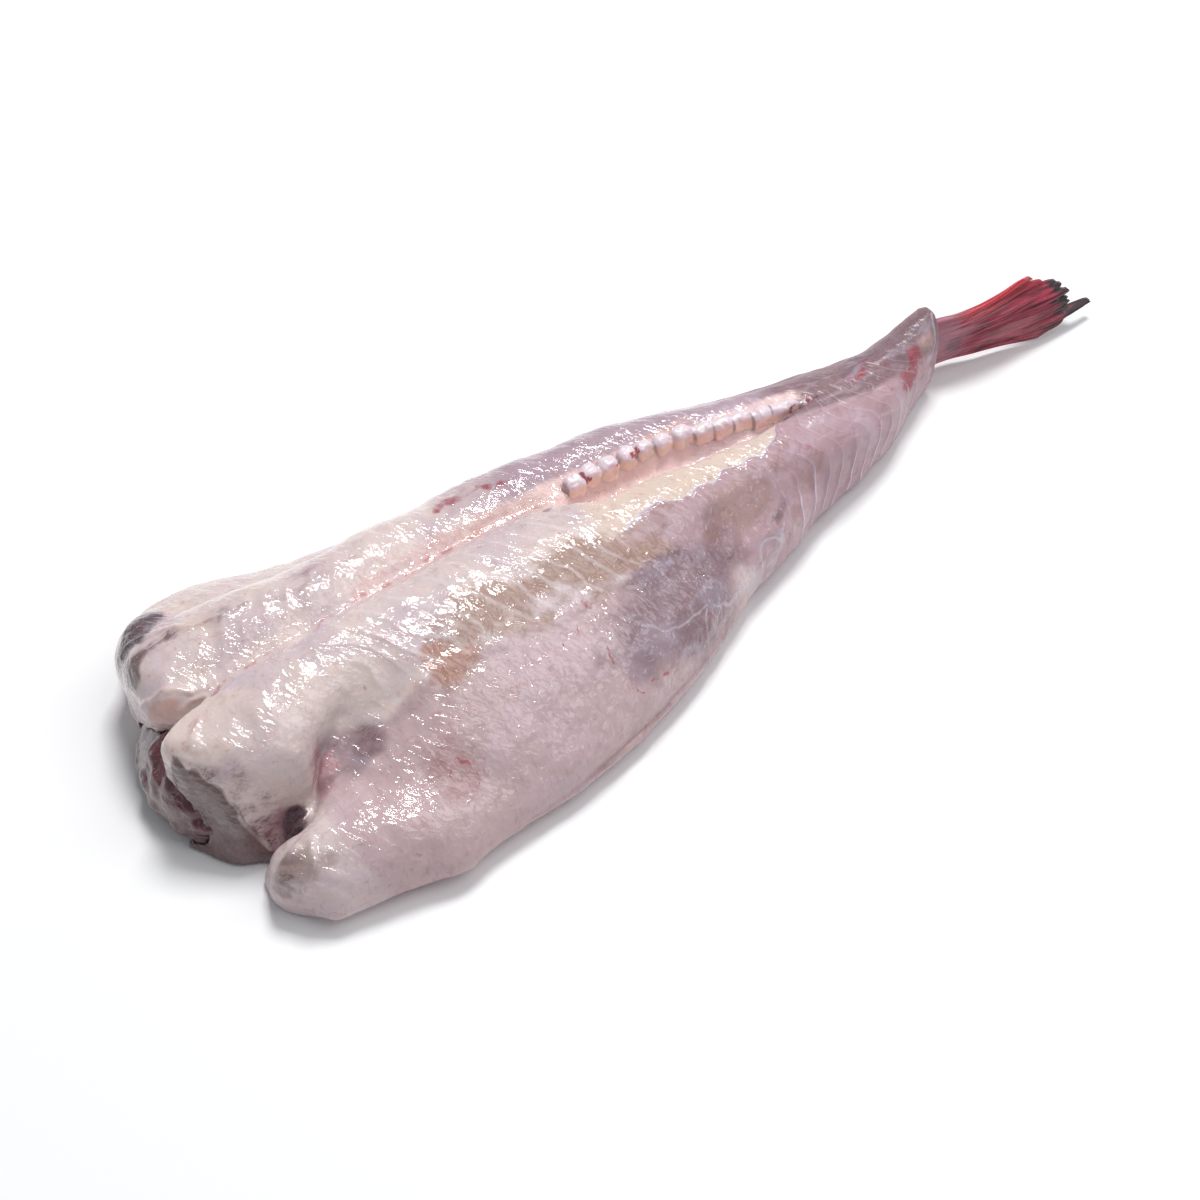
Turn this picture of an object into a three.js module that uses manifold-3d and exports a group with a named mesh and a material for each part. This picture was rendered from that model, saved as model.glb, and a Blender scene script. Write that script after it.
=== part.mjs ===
// A skinned monkfish tail with its tail fin left on, lying belly down.
//
// Millimetres, +Z up. The body is described along x: x = 0 is the cut where the head came off and
// x = BODY_LENGTH is where the skinned body ends and the tail fin begins. +y is the fish's right side
// and z = 0 is the surface it lies on. At the end everything is moved so that ORIGIN is at (0, 0, 0).
//
// The body is a field that is negative inside the flesh: a low broad belly wall, two loins along the
// back with a groove between them, a shoulder that carries the near loin out onto the belly flap, and a
// few lobes at the head end. It is meshed by marching cubes.
// The lining of the belly cavity, the bases of the dorsal fin rays and the tail fin are solids of
// their own, and the flesh is cut back from each of them by GAP.

import * as THREE from "three";
import { mergeVertices } from "three/addons/utils/BufferGeometryUtils.js";
import { edgeTable, triTable } from "three/addons/objects/MarchingCubes.js";
import Module from "manifold-3d";

// ---------------------------------------------------------------- driving dimensions

const BODY_LENGTH = 400;
const ORIGIN = [237, -16, 0]; // middle of the underside
const GAP = 0.35; // clearance between touching solids
const SHORT_EDGE = 0.12; // edges shorter than this are drawn together after the cuts
const END_LEAN = 0.24; // the end of the body leans back by this much per mm of height
const BACK_AT_END = 36; // height of the back where the fin begins
const SPARE = 4; // the field runs on this far below the table and past the body's end, and is then cut

// Profiles along the body, as [x, value].
const GROOVE_Y = [
  [-20, -7], [20, -4], [60, -2.4], [100, 0.2], [140, 2.4], [185, 3.2], [215, 2.4], [250, -0.5],
  [300, -6], [325, -9], [350, -9], [375, -4], [400, 2.5],
];
const NEAR_REACH = [
  [-10, 60], [3, 80], [12, 94], [29, 100], [49, 104], [68, 110], [85, 107], [118, 101], [151, 91], [180, 85],
  [218, 76], [249, 64], [279, 54], [303, 45], [326, 38], [350, 29], [376, 14], [392, 4.5], [400, 3],
];
const FAR_REACH = [
  [-10, 58], [10, 69], [26, 76], [46, 76], [77, 67], [132, 56], [182, 50], [252, 41], [285, 32],
  [326, 21], [358, 14], [385, 13], [400, 14],
];
const WALL_TOP = [
  [-10, 30], [60, 31], [150, 31], [200, 35], [250, 38], [300, 36], [350, 33], [385, 32],
  [400, 33.5],
];
const LOIN_TOP = [
  [-10, 50], [50, 58], [100, 58], [150, 55], [200, 52], [250, 48], [300, 43], [350, 36], [380, 33],
  [400, 33],
];
const NEAR_LOIN = [
  [-10, 70], [8, 68], [22, 58], [36, 46], [50, 39], [71, 37], [93, 41], [150, 41], [200, 42], [250, 39],
  [300, 31], [350, 20], [385, 11], [400, 8],
];
const FAR_LOIN = [
  [-10, 50], [46, 42], [77, 36], [132, 33], [182, 31], [252, 26], [285, 20], [326, 14], [358, 10],
  [400, 8],
];
const NEAR_SLOPE = [[-10, 0.36], [20, 0.3], [50, 0.12], [90, 0], [400, 0]]; // the near loin's fall sideways

// The shoulder below the near loin: its top, its half width, and how far its middle is from the groove.
const SHOULDER_TOP = [[30, 14], [55, 30], [85, 42], [150, 43], [190, 40], [225, 34], [255, 28]];
const SHOULDER_HALF = [[30, 30], [190, 30], [225, 24], [255, 16]];
const SHOULDER_OUT = [[30, 46], [190, 46], [225, 40], [255, 32]];
const SHOULDER_END = 240;
const SHOULDER_TAPER = 0.4;

// How widely the near loin's side runs out into the belly flap, along the fish, and the far loin's.
const NEAR_FILL = [[-10, 8], [45, 10], [95, 26], [170, 26], [215, 18], [260, 8], [400, 6]];
const FAR_FILL = 8;

// The sections. A power says how square an oval is, and heights are shares of the profiles above.
const WALL_POWER = 2.4;
const WALL_WIDEST = 0.3;
const WALL_UNDER = 1.25;
const LOIN_POWER = 2.3;
const LOIN_MIDDLE = 0.46;
const LOIN_CENTRE = 0.5;
const LOIN_HALF = 0.6;
const LOINS_CLOSE = [295, 345]; // where the two loins close up over the groove
const LOINS_CLOSER = 0.2;
const FAR_LOIN_DROP = 3;
const FALL_START = 22; // the near loin's fall begins this far from the groove
const SHOULDER_POWER = 2.2;
const SHOULDER_MIDDLE = 0.4;

// The head cut seen from above, as [y, x].
const HEAD_CUT = [
  [-95, 8], [-88, 5], [-80, 2], [-70, 1], [-62, 3], [-56, 9], [-50, 4], [-44, 0], [-38, -3], [-33, -6],
  [-28, -9], [-20, -10], [-14, -9], [-10, -2], [-5, 15], [-1, 8], [5, -1], [12, -3], [30, -3], [50, 3],
  [70, 12], [90, 26],
];
const HEAD_ROUND = 7; // rounding of the head cut on the near side, and how much more on the far side
const HEAD_ROUND_FAR = 5.5;

// The slab at the near loin's end leans out towards the table by SLAB_LEAN. Above its top edge, given as
// [y, z], the loin's end leans back: so much per mm of height, and so much per square mm.
const SLAB_LEAN = 7;
const SLAB_HEIGHT = 34;
const SLAB_NEAR_EDGE = [-62, -50];
const SLAB_FAR_EDGE = [-26, -33];
const SLAB_TOP = [
  [-75, 0], [-62, 0], [-54.5, 3], [-50, 16], [-46, 24], [-38, 32], [-29, 37], [-20, 41], [-12, 60],
];
const LOIN_END_LEAN = [0.3, 0.03];
const LOIN_END_NEAR = [-78, -66];
const LOIN_END_FAR = [-14, -30];

// The fold between the near loin's end and the belly flap: [x, y] of its path and height of its bottom.
const FOLD = [
  [-8, -56, -4], [5, -58, 3], [13, -61, 10], [19, -64, 16], [25, -63.5, 21], [31, -59, 25], [35, -53, 28],
  [41, -47, 33], [50, -43, 40], [60, -40, 50],
];
const FOLD_RADIUS = 2.4;
const FOLD_THINS = 0.7; // share of the radius that is lost by the fold's end
const FOLD_STEEP = 0.45;
const FOLD_ROUND = 4.5;

// Lobes at the head end: centre, radii, turn about z in degrees, how square they are, and how softly each
// runs into the body.
const LOBES = [
  { at: [11, 4, 36], radii: [17, 8.5, 10], turn: 153, power: 2.1, blend: 2.5 }, // the tongue by the groove
  { at: [16, 43, 26], radii: [17, 14, 16], turn: 20, power: 2.1, blend: 3 }, // the far lump
  { at: [49, -80, 12], radii: [47, 21, 19], turn: -10, power: 2.3, blend: 5 }, // the flap's tip
];

// The open belly: its hollow, its mouth at the head cut, and the corner under the near loin.
const CAVITY = [
  { at: [40, -6, 8], radii: [55, 44, 22], turn: 0, power: 2.3, blend: 0 },
  { at: [4, -12, 14], radii: [19, 25, 17], turn: -12, power: 2.2, blend: 5 },
  { at: [3, -27, 7], radii: [14, 14, 9.5], turn: -30, power: 2.1, blend: 4 },
];

// The groove along the back, which gives way to the trench that the dorsal fin rays' bases stand in.
const GROOVE_RADIUS = 2.6;
const GROOVE_END = [180, 200];
const GROOVE_FADE = 6.6; // how much the radius loses at its end
const GROOVE_TALL = 0.55;
const GROOVE_ROUND = 3.5;
const TRENCH_Y = [
  [170, 2], [185, -1], [200, -5], [217, -5], [233, -5.5], [248, -7], [263, -8], [280, -9.5], [320, -11],
];
const TRENCH_HALF = [
  [165, -4], [180, 1.5], [190, 4], [203, 6.5], [217, 7.5], [248, 7], [263, 6], [280, 4.8], [318, 0],
  [332, -4],
];
const TRENCH_TALL = 0.6;
const TRENCH_ROUND = 3;
const CUT_DEPTH = 2; // the groove's and the trench's middle lines lie this far below the loins' top

// Bases of the dorsal fin rays.
const BASES = 12;
const CRUMBS = 4; // the last, smallest ones
const BASE_START = 199;
const BASE_PITCH = 9.4;
const CRUMB_PITCH = 6.2;
const BASE_Y = [
  [199, 3.5], [215, 5], [232, 4.5], [243, 4.6], [256, 2], [268, -0.6], [291, -5], [313, -9], [330, -10.5],
];
const BASE_SWAY = 0.5; // they stand a little out of line
const BASE_HALF = [4.45, 4.4, 7.2]; // of the first one, along x, y and z
const BASE_SHRINK = 0.42; // share of its size that the last one has lost
const BASE_TOP = 0.3; // their tops lie this far below the loins' top
const CRUMB_HALF = 2.5;
const CRUMB_SIZE = 0.42;

// Tail fin: its top and low edges seen from the side and from above, and its tips by height.
const FIN_TOP_Z = [
  [396, 33], [404, 33], [414, 33], [426, 34], [438, 35], [452, 34.5], [470, 32], [490, 30],
];
const FIN_LOW_Z = [[396, 2.5], [404, 3.5], [414, 3.5], [426, 3], [440, 2.2], [456, 1.5], [490, 2]];
const FIN_TOP_Y = [
  [392, 2.5], [404, 0], [414, -3.4], [426, -5.6], [438, -5.6], [452, -3], [470, -2], [490, -2],
];
const FIN_LOW_Y = [
  [392, 2.5], [404, 1], [412, -0.5], [423, -4], [439, -8], [459, -14], [474, -15], [490, -14],
];
const FIN_TIPS = [
  [0, 457], [0.06, 462], [0.13, 478], [0.2, 489], [0.3, 483], [0.42, 478], [0.52, 480], [0.62, 476],
  [0.72, 475], [0.8, 466], [0.88, 462], [0.95, 456], [1, 452],
];
const FIN_RAYS = 9;
const FIN_NOTCH = 9; // how far the web stops short of the tips
const FIN_ROOT_HALF = 4.5; // half thickness where it leaves the body
const FIN_FLESHY = [BODY_LENGTH - 4, BODY_LENGTH + 30]; // the fleshy root thins out to the fan here
const FIN_BLADE = [0.9, 0.8]; // half thickness of the fan at its tips, and how much more at its root
const FIN_WEB = [0.55, 0.75]; // share of it that the web has, and how much more a ray has
const FIN_EDGE = [2.2, 8]; // squareness of its top and low edges at the fleshy root, and how much more after
const FIN_STEPS_ALONG = 11;
const FIN_STEPS_ACROSS = FIN_RAYS * 4;

// ---------------------------------------------------------------- curves and blends

// Smooth curve through [place, value] pairs, held level past both ends.
function along(pairs, place) {
  const last = pairs.length - 1;
  const p = Math.min(Math.max(place, pairs[0][0]), pairs[last][0]);
  let i = 0;
  while (i < last - 1 && pairs[i + 1][0] <= p) i += 1;
  const step = pairs[i + 1][0] - pairs[i][0];
  const t = (p - pairs[i][0]) / step;
  const t2 = t * t;
  const t3 = t2 * t;
  return (2 * t3 - 3 * t2 + 1) * pairs[i][1]
    + (t3 - 2 * t2 + t) * step * slopeAt(pairs, i)
    + (3 * t2 - 2 * t3) * pairs[i + 1][1]
    + (t3 - t2) * step * slopeAt(pairs, i + 1);
}

function slopeAt(pairs, i) {
  const before = pairs[Math.max(i - 1, 0)];
  const here = pairs[i];
  const after = pairs[Math.min(i + 1, pairs.length - 1)];
  const left = here[0] - before[0];
  const right = after[0] - here[0];
  if (left === 0) return (after[1] - here[1]) / right;
  if (right === 0) return (here[1] - before[1]) / left;
  return (left * left * after[1] + (right * right - left * left) * here[1] - right * right * before[1])
    / (left * right * (left + right));
}

function ramp(from, to, value) {
  const t = Math.min(Math.max((value - from) / (to - from), 0), 1);
  return t * t * (3 - 2 * t);
}

// Union and intersection of two fields with a rounded joint of the given radius.
function join(a, b, radius) {
  const h = Math.min(Math.max(0.5 + 0.5 * (b - a) / radius, 0), 1);
  return b + (a - b) * h - radius * h * (1 - h);
}

function common(a, b, radius) {
  return -join(-a, -b, radius);
}

// ---------------------------------------------------------------- fields

function ovalField(y, z, yMid, zMid, yHalf, zHalf, power) {
  const u = Math.abs((y - yMid) / yHalf);
  const v = Math.abs((z - zMid) / zHalf);
  const reach = (u ** power + v ** power) ** (1 / power);
  return (reach - 1) * Math.min(yHalf, zHalf);
}

function lobeField(x, y, z, { at, radii, turn, power }) {
  const c = Math.cos(THREE.MathUtils.degToRad(turn));
  const s = Math.sin(THREE.MathUtils.degToRad(turn));
  const dx = x - at[0];
  const dy = y - at[1];
  const u = Math.abs((dx * c + dy * s) / radii[0]);
  const v = Math.abs((dy * c - dx * s) / radii[1]);
  const w = Math.abs((z - at[2]) / radii[2]);
  return ((u ** power + v ** power + w ** power) ** (1 / power) - 1) * Math.min(...radii);
}

// Field of the fold's cutter, a wall that is open upwards and thins towards the tail.
function foldField(x, y, z) {
  const point = new THREE.Vector3(x, y, 0);
  const nearest = new THREE.Vector3();
  let distance = Infinity;
  let place = 0;
  for (let k = 0; k + 1 < FOLD.length; k += 1) {
    const [startX, startY, startLow] = FOLD[k];
    const [endX, endY, endLow] = FOLD[k + 1];
    const line = new THREE.Line3(new THREE.Vector3(startX, startY, 0), new THREE.Vector3(endX, endY, 0));
    const t = line.closestPointToPointParameter(point, true);
    line.at(t, nearest);
    const below = Math.min(z - startLow - t * (endLow - startLow), 0);
    const here = Math.hypot(nearest.distanceTo(point), FOLD_STEEP * below);
    if (here < distance) {
      distance = here;
      place = (k + t) / (FOLD.length - 1);
    }
  }
  return distance - FOLD_RADIUS * (1 - FOLD_THINS * place);
}

function cavityField(x, y, z) {
  const [hollow, ...others] = CAVITY;
  const start = lobeField(x, y, z, hollow);
  return others.reduce((field, lobe) => join(field, lobeField(x, y, z, lobe), lobe.blend), start);
}

// Where the head end is cut, along the fish.
function headCut(y, z) {
  const slab = ramp(...SLAB_NEAR_EDGE, y) * ramp(...SLAB_FAR_EDGE, y) * (1 - ramp(0, SLAB_HEIGHT, z));
  const above = Math.max(z - along(SLAB_TOP, y), 0);
  const leanHere = ramp(...LOIN_END_FAR, y) * ramp(...LOIN_END_NEAR, y);
  const back = leanHere * (LOIN_END_LEAN[0] * above + LOIN_END_LEAN[1] * above ** 2);
  return along(HEAD_CUT, y) - SLAB_LEAN * slab + back;
}

// The belly wall, the shoulder and the two loins, before anything is cut.
function bodyField(x, y, z) {
  const grooveY = along(GROOVE_Y, x);
  const near = along(NEAR_REACH, x);
  const far = along(FAR_REACH, x);
  const wall = along(WALL_TOP, x);
  const wide = WALL_WIDEST * wall;
  const rise = z > wide ? wall - wide : wide * WALL_UNDER;
  const belly = ovalField(y, z, (far - near) / 2, wide, (far + near) / 2, rise, WALL_POWER);

  const shoulderTop = along(SHOULDER_TOP, x);
  const low = SHOULDER_MIDDLE * shoulderTop;
  const shoulderY = grooveY - along(SHOULDER_OUT, x);
  const shoulderHalf = along(SHOULDER_HALF, x);
  const shoulder = ovalField(y, z, shoulderY, low, shoulderHalf, shoulderTop - low, SHOULDER_POWER)
    + SHOULDER_TAPER * Math.max(x - SHOULDER_END, 0);

  const top = along(LOIN_TOP, x);
  const middle = LOIN_MIDDLE * top;
  const closing = LOINS_CLOSER * ramp(...LOINS_CLOSE, x);
  const centre = LOIN_CENTRE - closing;
  const half = LOIN_HALF + closing;
  const nearWidth = along(NEAR_LOIN, x);
  const fallen = z + along(NEAR_SLOPE, x) * (grooveY - y - FALL_START);
  const nearY = grooveY - centre * nearWidth;
  const nearLoin = ovalField(y, fallen, nearY, middle, half * nearWidth, top - middle, LOIN_POWER);
  const farWidth = along(FAR_LOIN, x);
  const farY = grooveY + centre * farWidth;
  const farRise = top - FAR_LOIN_DROP - middle;
  const farLoin = ovalField(y, z, farY, middle, half * farWidth, farRise, LOIN_POWER);

  const fill = along(NEAR_FILL, x);
  return join(join(join(belly, shoulder, fill), nearLoin, fill), farLoin, FAR_FILL);
}

function fleshField(x, y, z) {
  const rounding = HEAD_ROUND + HEAD_ROUND_FAR * ramp(-12, 14, y);
  let field = common(bodyField(x, y, z), headCut(y, z) - x, rounding);
  for (const lobe of LOBES) field = join(field, lobeField(x, y, z, lobe), lobe.blend);
  field = common(field, -foldField(x, y, z), FOLD_ROUND);

  const depth = z - along(LOIN_TOP, x) + CUT_DEPTH;
  const grooveRadius = GROOVE_RADIUS - GROOVE_FADE * ramp(...GROOVE_END, x);
  const groove = grooveRadius - Math.hypot(y - along(GROOVE_Y, x), GROOVE_TALL * depth);
  field = common(field, groove, GROOVE_ROUND);
  const trench = along(TRENCH_HALF, x) - Math.hypot(y - along(TRENCH_Y, x), TRENCH_TALL * depth);
  field = common(field, trench, TRENCH_ROUND);
  return Math.max(field, x - BODY_LENGTH - SPARE, -z - SPARE);
}

// ---------------------------------------------------------------- meshing

// Grid lines from one place to the next, with the spacing asked for on each stretch.
function gridLines(start, stretches) {
  const lines = [start];
  for (const [end, spacing] of stretches) {
    const from = lines.at(-1);
    const count = Math.round((end - from) / spacing);
    for (let k = 1; k <= count; k += 1) lines.push(from + (end - from) * k / count);
  }
  return lines;
}

const CORNERS = [[0, 0, 0], [1, 0, 0], [1, 1, 0], [0, 1, 0], [0, 0, 1], [1, 0, 1], [1, 1, 1], [0, 1, 1]];
const EDGES = [
  [0, 1], [1, 2], [3, 2], [0, 3], [4, 5], [5, 6], [7, 6], [4, 7], [0, 4], [1, 5], [2, 6], [3, 7],
];
const LEAST_SHARE = 0.1; // keeps vertices off the grid points, so no triangle is a sliver

// Surface where the field is zero, as an indexed geometry.
function march(field, xs, ys, zs) {
  const number = (i, j, k) => (i * ys.length + j) * zs.length + k;
  const values = new Float64Array(xs.length * ys.length * zs.length);
  for (let i = 0; i < xs.length; i += 1) {
    for (let j = 0; j < ys.length; j += 1) {
      for (let k = 0; k < zs.length; k += 1) values[number(i, j, k)] = field(xs[i], ys[j], zs[k]);
    }
  }
  const positions = [];
  const indices = [];
  const known = new Map();

  function vertexOn(edge, i, j, k) {
    const [a, b] = EDGES[edge].map((corner) => CORNERS[corner].map((step, axis) => step + [i, j, k][axis]));
    const first = number(...a);
    const second = number(...b);
    const key = first * values.length + second;
    if (!known.has(key)) {
      const share = values[first] / (values[first] - values[second]);
      const t = Math.min(Math.max(share, LEAST_SHARE), 1 - LEAST_SHARE);
      const start = [xs[a[0]], ys[a[1]], zs[a[2]]];
      const end = [xs[b[0]], ys[b[1]], zs[b[2]]];
      known.set(key, positions.length / 3);
      positions.push(...start.map((value, axis) => value + (end[axis] - value) * t));
    }
    return known.get(key);
  }

  for (let i = 0; i + 1 < xs.length; i += 1) {
    for (let j = 0; j + 1 < ys.length; j += 1) {
      for (let k = 0; k + 1 < zs.length; k += 1) {
        let outside = 0;
        CORNERS.forEach(([di, dj, dk], corner) => {
          if (values[number(i + di, j + dj, k + dk)] > 0) outside |= 1 << corner;
        });
        if (edgeTable[outside] === 0) continue;
        for (let t = outside * 16; triTable[t] !== -1; t += 1) indices.push(vertexOn(triTable[t], i, j, k));
      }
    }
  }
  return geometryFrom(positions, indices);
}

// Geometry from shared vertices, turned so that its faces point out.
function geometryFrom(positions, indices) {
  let volume = 0;
  const [a, b, c] = [new THREE.Vector3(), new THREE.Vector3(), new THREE.Vector3()];
  for (let t = 0; t < indices.length; t += 3) {
    a.fromArray(positions, indices[t] * 3);
    b.fromArray(positions, indices[t + 1] * 3);
    c.fromArray(positions, indices[t + 2] * 3);
    volume += a.dot(b.cross(c));
  }
  const geometry = new THREE.BufferGeometry();
  geometry.setAttribute("position", new THREE.Float32BufferAttribute(positions, 3));
  geometry.setIndex(volume < 0 ? [...indices].reverse() : indices);
  return geometry;
}

// ---------------------------------------------------------------- tail fin

// A point of the fin: u runs from root to tip, v from the low edge to the top edge, and side is
// -1 on the near face and +1 on the far one.
function finPoint(u, v, side) {
  const rootLow = along(FIN_LOW_Z, BODY_LENGTH);
  const rootZ = rootLow + (along(FIN_TOP_Z, BODY_LENGTH) - rootLow) * v;
  const root = bodyEnd(rootZ) + GAP;
  const ray = Math.abs(Math.sin(Math.PI * v * FIN_RAYS)); // 1 on a ray, 0 in the web
  const inside = ramp(0.02, 0.06, v) * ramp(1, 0.95, v);
  const tip = along(FIN_TIPS, v) - FIN_NOTCH * (1 - ray) ** 1.5 * inside;
  const x = root + (tip - root) * u;
  const low = along(FIN_LOW_Z, x);
  const z = u === 0 ? rootZ : low + (along(FIN_TOP_Z, x) - low) * v;
  const lowY = along(FIN_LOW_Y, x);
  const y = lowY + (along(FIN_TOP_Y, x) - lowY) * v;
  const fan = ramp(...FIN_FLESHY, x); // 0 at the fleshy root, 1 on the fan
  const blade = (FIN_BLADE[0] + FIN_BLADE[1] * (1 - u)) * (FIN_WEB[0] + FIN_WEB[1] * ray);
  const rounding = Math.max(1 - Math.abs(2 * v - 1) ** (FIN_EDGE[0] + FIN_EDGE[1] * fan), 0) ** 0.5;
  const half = (blade * fan + FIN_ROOT_HALF * (1 - fan)) * rounding;
  return [x, y + side * half, z];
}

function bodyEnd(z) {
  return BODY_LENGTH - END_LEAN * (BACK_AT_END - z);
}

// The fan as two faces that meet at the top and low edges, closed at the root and at the tips.
function finGeometry() {
  const positions = [];
  const corner = (side, i, j) => {
    positions.push(...finPoint(i / FIN_STEPS_ALONG, j / FIN_STEPS_ACROSS, side));
  };
  const quad = (a, b, c, d) => [a, b, c, a, c, d].forEach((spot) => corner(...spot));
  const tip = FIN_STEPS_ALONG;
  for (let j = 0; j < FIN_STEPS_ACROSS; j += 1) {
    for (let i = 0; i < FIN_STEPS_ALONG; i += 1) {
      quad([-1, i, j], [-1, i + 1, j], [-1, i + 1, j + 1], [-1, i, j + 1]);
      quad([1, i, j + 1], [1, i + 1, j + 1], [1, i + 1, j], [1, i, j]);
    }
    quad([1, 0, j], [-1, 0, j], [-1, 0, j + 1], [1, 0, j + 1]);
    quad([-1, tip, j], [1, tip, j], [1, tip, j + 1], [-1, tip, j + 1]);
  }
  const soup = new THREE.BufferGeometry();
  soup.setAttribute("position", new THREE.Float32BufferAttribute(positions, 3));
  const merged = mergeVertices(soup, 1e-4);
  const kept = [];
  const index = merged.index.array;
  for (let t = 0; t < index.length; t += 3) {
    const [p, q, r] = [index[t], index[t + 1], index[t + 2]];
    if (p !== q && q !== r && r !== p) kept.push(p, q, r);
  }
  return geometryFrom(Array.from(merged.attributes.position.array), kept);
}

// ---------------------------------------------------------------- fin ray bases

// Each base is a knuckle that stands in the trench, smaller and smaller towards the tail.
function baseGeometry(number, grow) {
  const crumb = number >= BASES;
  const behind = Math.max(number - BASES + 1, 0);
  const x = BASE_START + BASE_PITCH * Math.min(number, BASES - 1) + CRUMB_PITCH * behind + (crumb ? 1 : 0);
  const y = along(BASE_Y, x) + BASE_SWAY * Math.sin(2.3 * number);
  const size = crumb ? CRUMB_SIZE : 1 - BASE_SHRINK * number / (BASES + CRUMBS - 1);
  const z = along(LOIN_TOP, x) - BASE_TOP - BASE_HALF[2] * size;
  const halfX = crumb ? CRUMB_HALF : BASE_HALF[0];
  const geometry = new THREE.IcosahedronGeometry(1, 1);
  geometry.scale(halfX + grow, BASE_HALF[1] * size + grow, BASE_HALF[2] * size + grow);
  geometry.translate(x, y, z);
  return welded(geometry);
}

function welded(geometry) {
  geometry.deleteAttribute("normal");
  geometry.deleteAttribute("uv");
  return mergeVertices(geometry, 1e-4);
}

// ---------------------------------------------------------------- cuts

const wasm = await Module();
wasm.setup();

function solid(geometry) {
  const mesh = new wasm.Mesh({
    numProp: 3,
    vertProperties: new Float32Array(geometry.attributes.position.array),
    triVerts: new Uint32Array(geometry.index.array),
  });
  return new wasm.Manifold(mesh);
}

function geometryOf(body) {
  const mesh = body.getMesh();
  const geometry = new THREE.BufferGeometry();
  geometry.setAttribute("position", new THREE.BufferAttribute(Float32Array.from(mesh.vertProperties), 3));
  geometry.setIndex(new THREE.BufferAttribute(Uint32Array.from(mesh.triVerts), 1));
  return geometry;
}

// The same surface with its shortest edges drawn together, which cuts leave behind.
function withoutShortEdges(geometry) {
  const index = geometry.index.array;
  const points = geometry.attributes.position;
  const standsFor = Array.from({ length: points.count }, (_, k) => k);
  const find = (k) => (standsFor[k] === k ? k : find(standsFor[k]));
  const [a, b] = [new THREE.Vector3(), new THREE.Vector3()];
  for (let t = 0; t < index.length; t += 1) {
    const next = t % 3 === 2 ? t - 2 : t + 1;
    a.fromBufferAttribute(points, index[t]);
    b.fromBufferAttribute(points, index[next]);
    if (a.distanceTo(b) < SHORT_EDGE) standsFor[find(index[t])] = find(index[next]);
  }
  const kept = [];
  for (let t = 0; t < index.length; t += 3) {
    const [p, q, r] = [find(index[t]), find(index[t + 1]), find(index[t + 2])];
    if (p !== q && q !== r && r !== p) kept.push(p, q, r);
  }
  return welded(new THREE.BufferGeometry().copy(geometry).setIndex(kept));
}

// Everything above the table and ahead of the leaning end of the body.
function keepBox(floor) {
  const box = welded(new THREE.BoxGeometry(600, 400, 200));
  const reach = box.attributes.position;
  for (let k = 0; k < reach.count; k += 1) {
    const z = reach.getZ(k) > 0 ? 120 : floor;
    reach.setZ(k, z);
    reach.setX(k, reach.getX(k) > 0 ? bodyEnd(z) : -100);
  }
  return solid(box);
}

// ---------------------------------------------------------------- the tail

const linesX = gridLines(-24, [[-4, 5], [52, 4], [64, 6], [388, 10.8], [408, 5]]);
const linesY = gridLines(-120, [[-72, 8], [-40, 4], [30, 5.4], [94, 8]]);
const linesZ = gridLines(-6, [[66, 5]]);

const cavityX = gridLines(-24, [[104, 8]]);
const cavityY = gridLines(-66, [[48, 8]]);
const cavityZ = gridLines(-20, [[40, 6]]);

const table = keepBox(0);
const cavity = solid(march(cavityField, cavityX, cavityY, cavityZ));
const cavityGrown = solid(march((x, y, z) => cavityField(x, y, z) - GAP, cavityX, cavityY, cavityZ));
let flesh = solid(march(fleshField, linesX, linesY, linesZ)).intersect(table).subtract(cavityGrown);
for (let k = 0; k < BASES + CRUMBS; k += 1) flesh = flesh.subtract(solid(baseGeometry(k, GAP)));
flesh = solid(withoutShortEdges(geometryOf(flesh)));

const fleshMaterial = new THREE.MeshStandardMaterial({ color: 0xc2aeb0, roughness: 0.3, metalness: 0 });
const liningMaterial = new THREE.MeshStandardMaterial({ color: 0x7d4a55, roughness: 0.25, metalness: 0 });
const finMaterial = new THREE.MeshStandardMaterial({ color: 0x8a3a4c, roughness: 0.4, metalness: 0 });
const baseMaterial = new THREE.MeshStandardMaterial({ color: 0xdccfd0, roughness: 0.2, metalness: 0 });

const tail = new THREE.Group();
tail.position.set(-ORIGIN[0], -ORIGIN[1], -ORIGIN[2]);

function add(name, geometry, material) {
  geometry.computeVertexNormals();
  const mesh = new THREE.Mesh(geometry, material);
  mesh.name = name;
  tail.add(mesh);
}

add("flesh", geometryOf(flesh), fleshMaterial);
add("belly_lining", geometryOf(cavity.intersect(table)), liningMaterial);
add("tail_fin", finGeometry(), finMaterial);
for (let k = 0; k < BASES + CRUMBS; k += 1) {
  add(`fin_base_${String(k + 1).padStart(2, "0")}`, baseGeometry(k, 0), baseMaterial);
}

export default tail;
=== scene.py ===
import math

import bpy
import numpy as np
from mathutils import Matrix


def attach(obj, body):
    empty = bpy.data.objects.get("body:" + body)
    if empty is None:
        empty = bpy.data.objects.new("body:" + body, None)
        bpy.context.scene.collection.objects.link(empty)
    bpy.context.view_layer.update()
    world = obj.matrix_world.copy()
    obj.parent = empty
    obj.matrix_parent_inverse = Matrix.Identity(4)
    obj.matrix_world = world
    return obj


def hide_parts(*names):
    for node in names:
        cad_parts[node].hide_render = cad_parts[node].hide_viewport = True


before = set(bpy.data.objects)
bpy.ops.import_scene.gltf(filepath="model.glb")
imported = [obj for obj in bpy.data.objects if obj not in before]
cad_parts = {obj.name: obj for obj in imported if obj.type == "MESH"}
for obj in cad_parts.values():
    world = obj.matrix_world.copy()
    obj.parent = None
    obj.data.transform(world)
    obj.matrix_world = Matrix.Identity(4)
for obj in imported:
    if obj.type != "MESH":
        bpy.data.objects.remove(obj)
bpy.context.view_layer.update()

import openvdb
from mathutils import Vector

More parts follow.
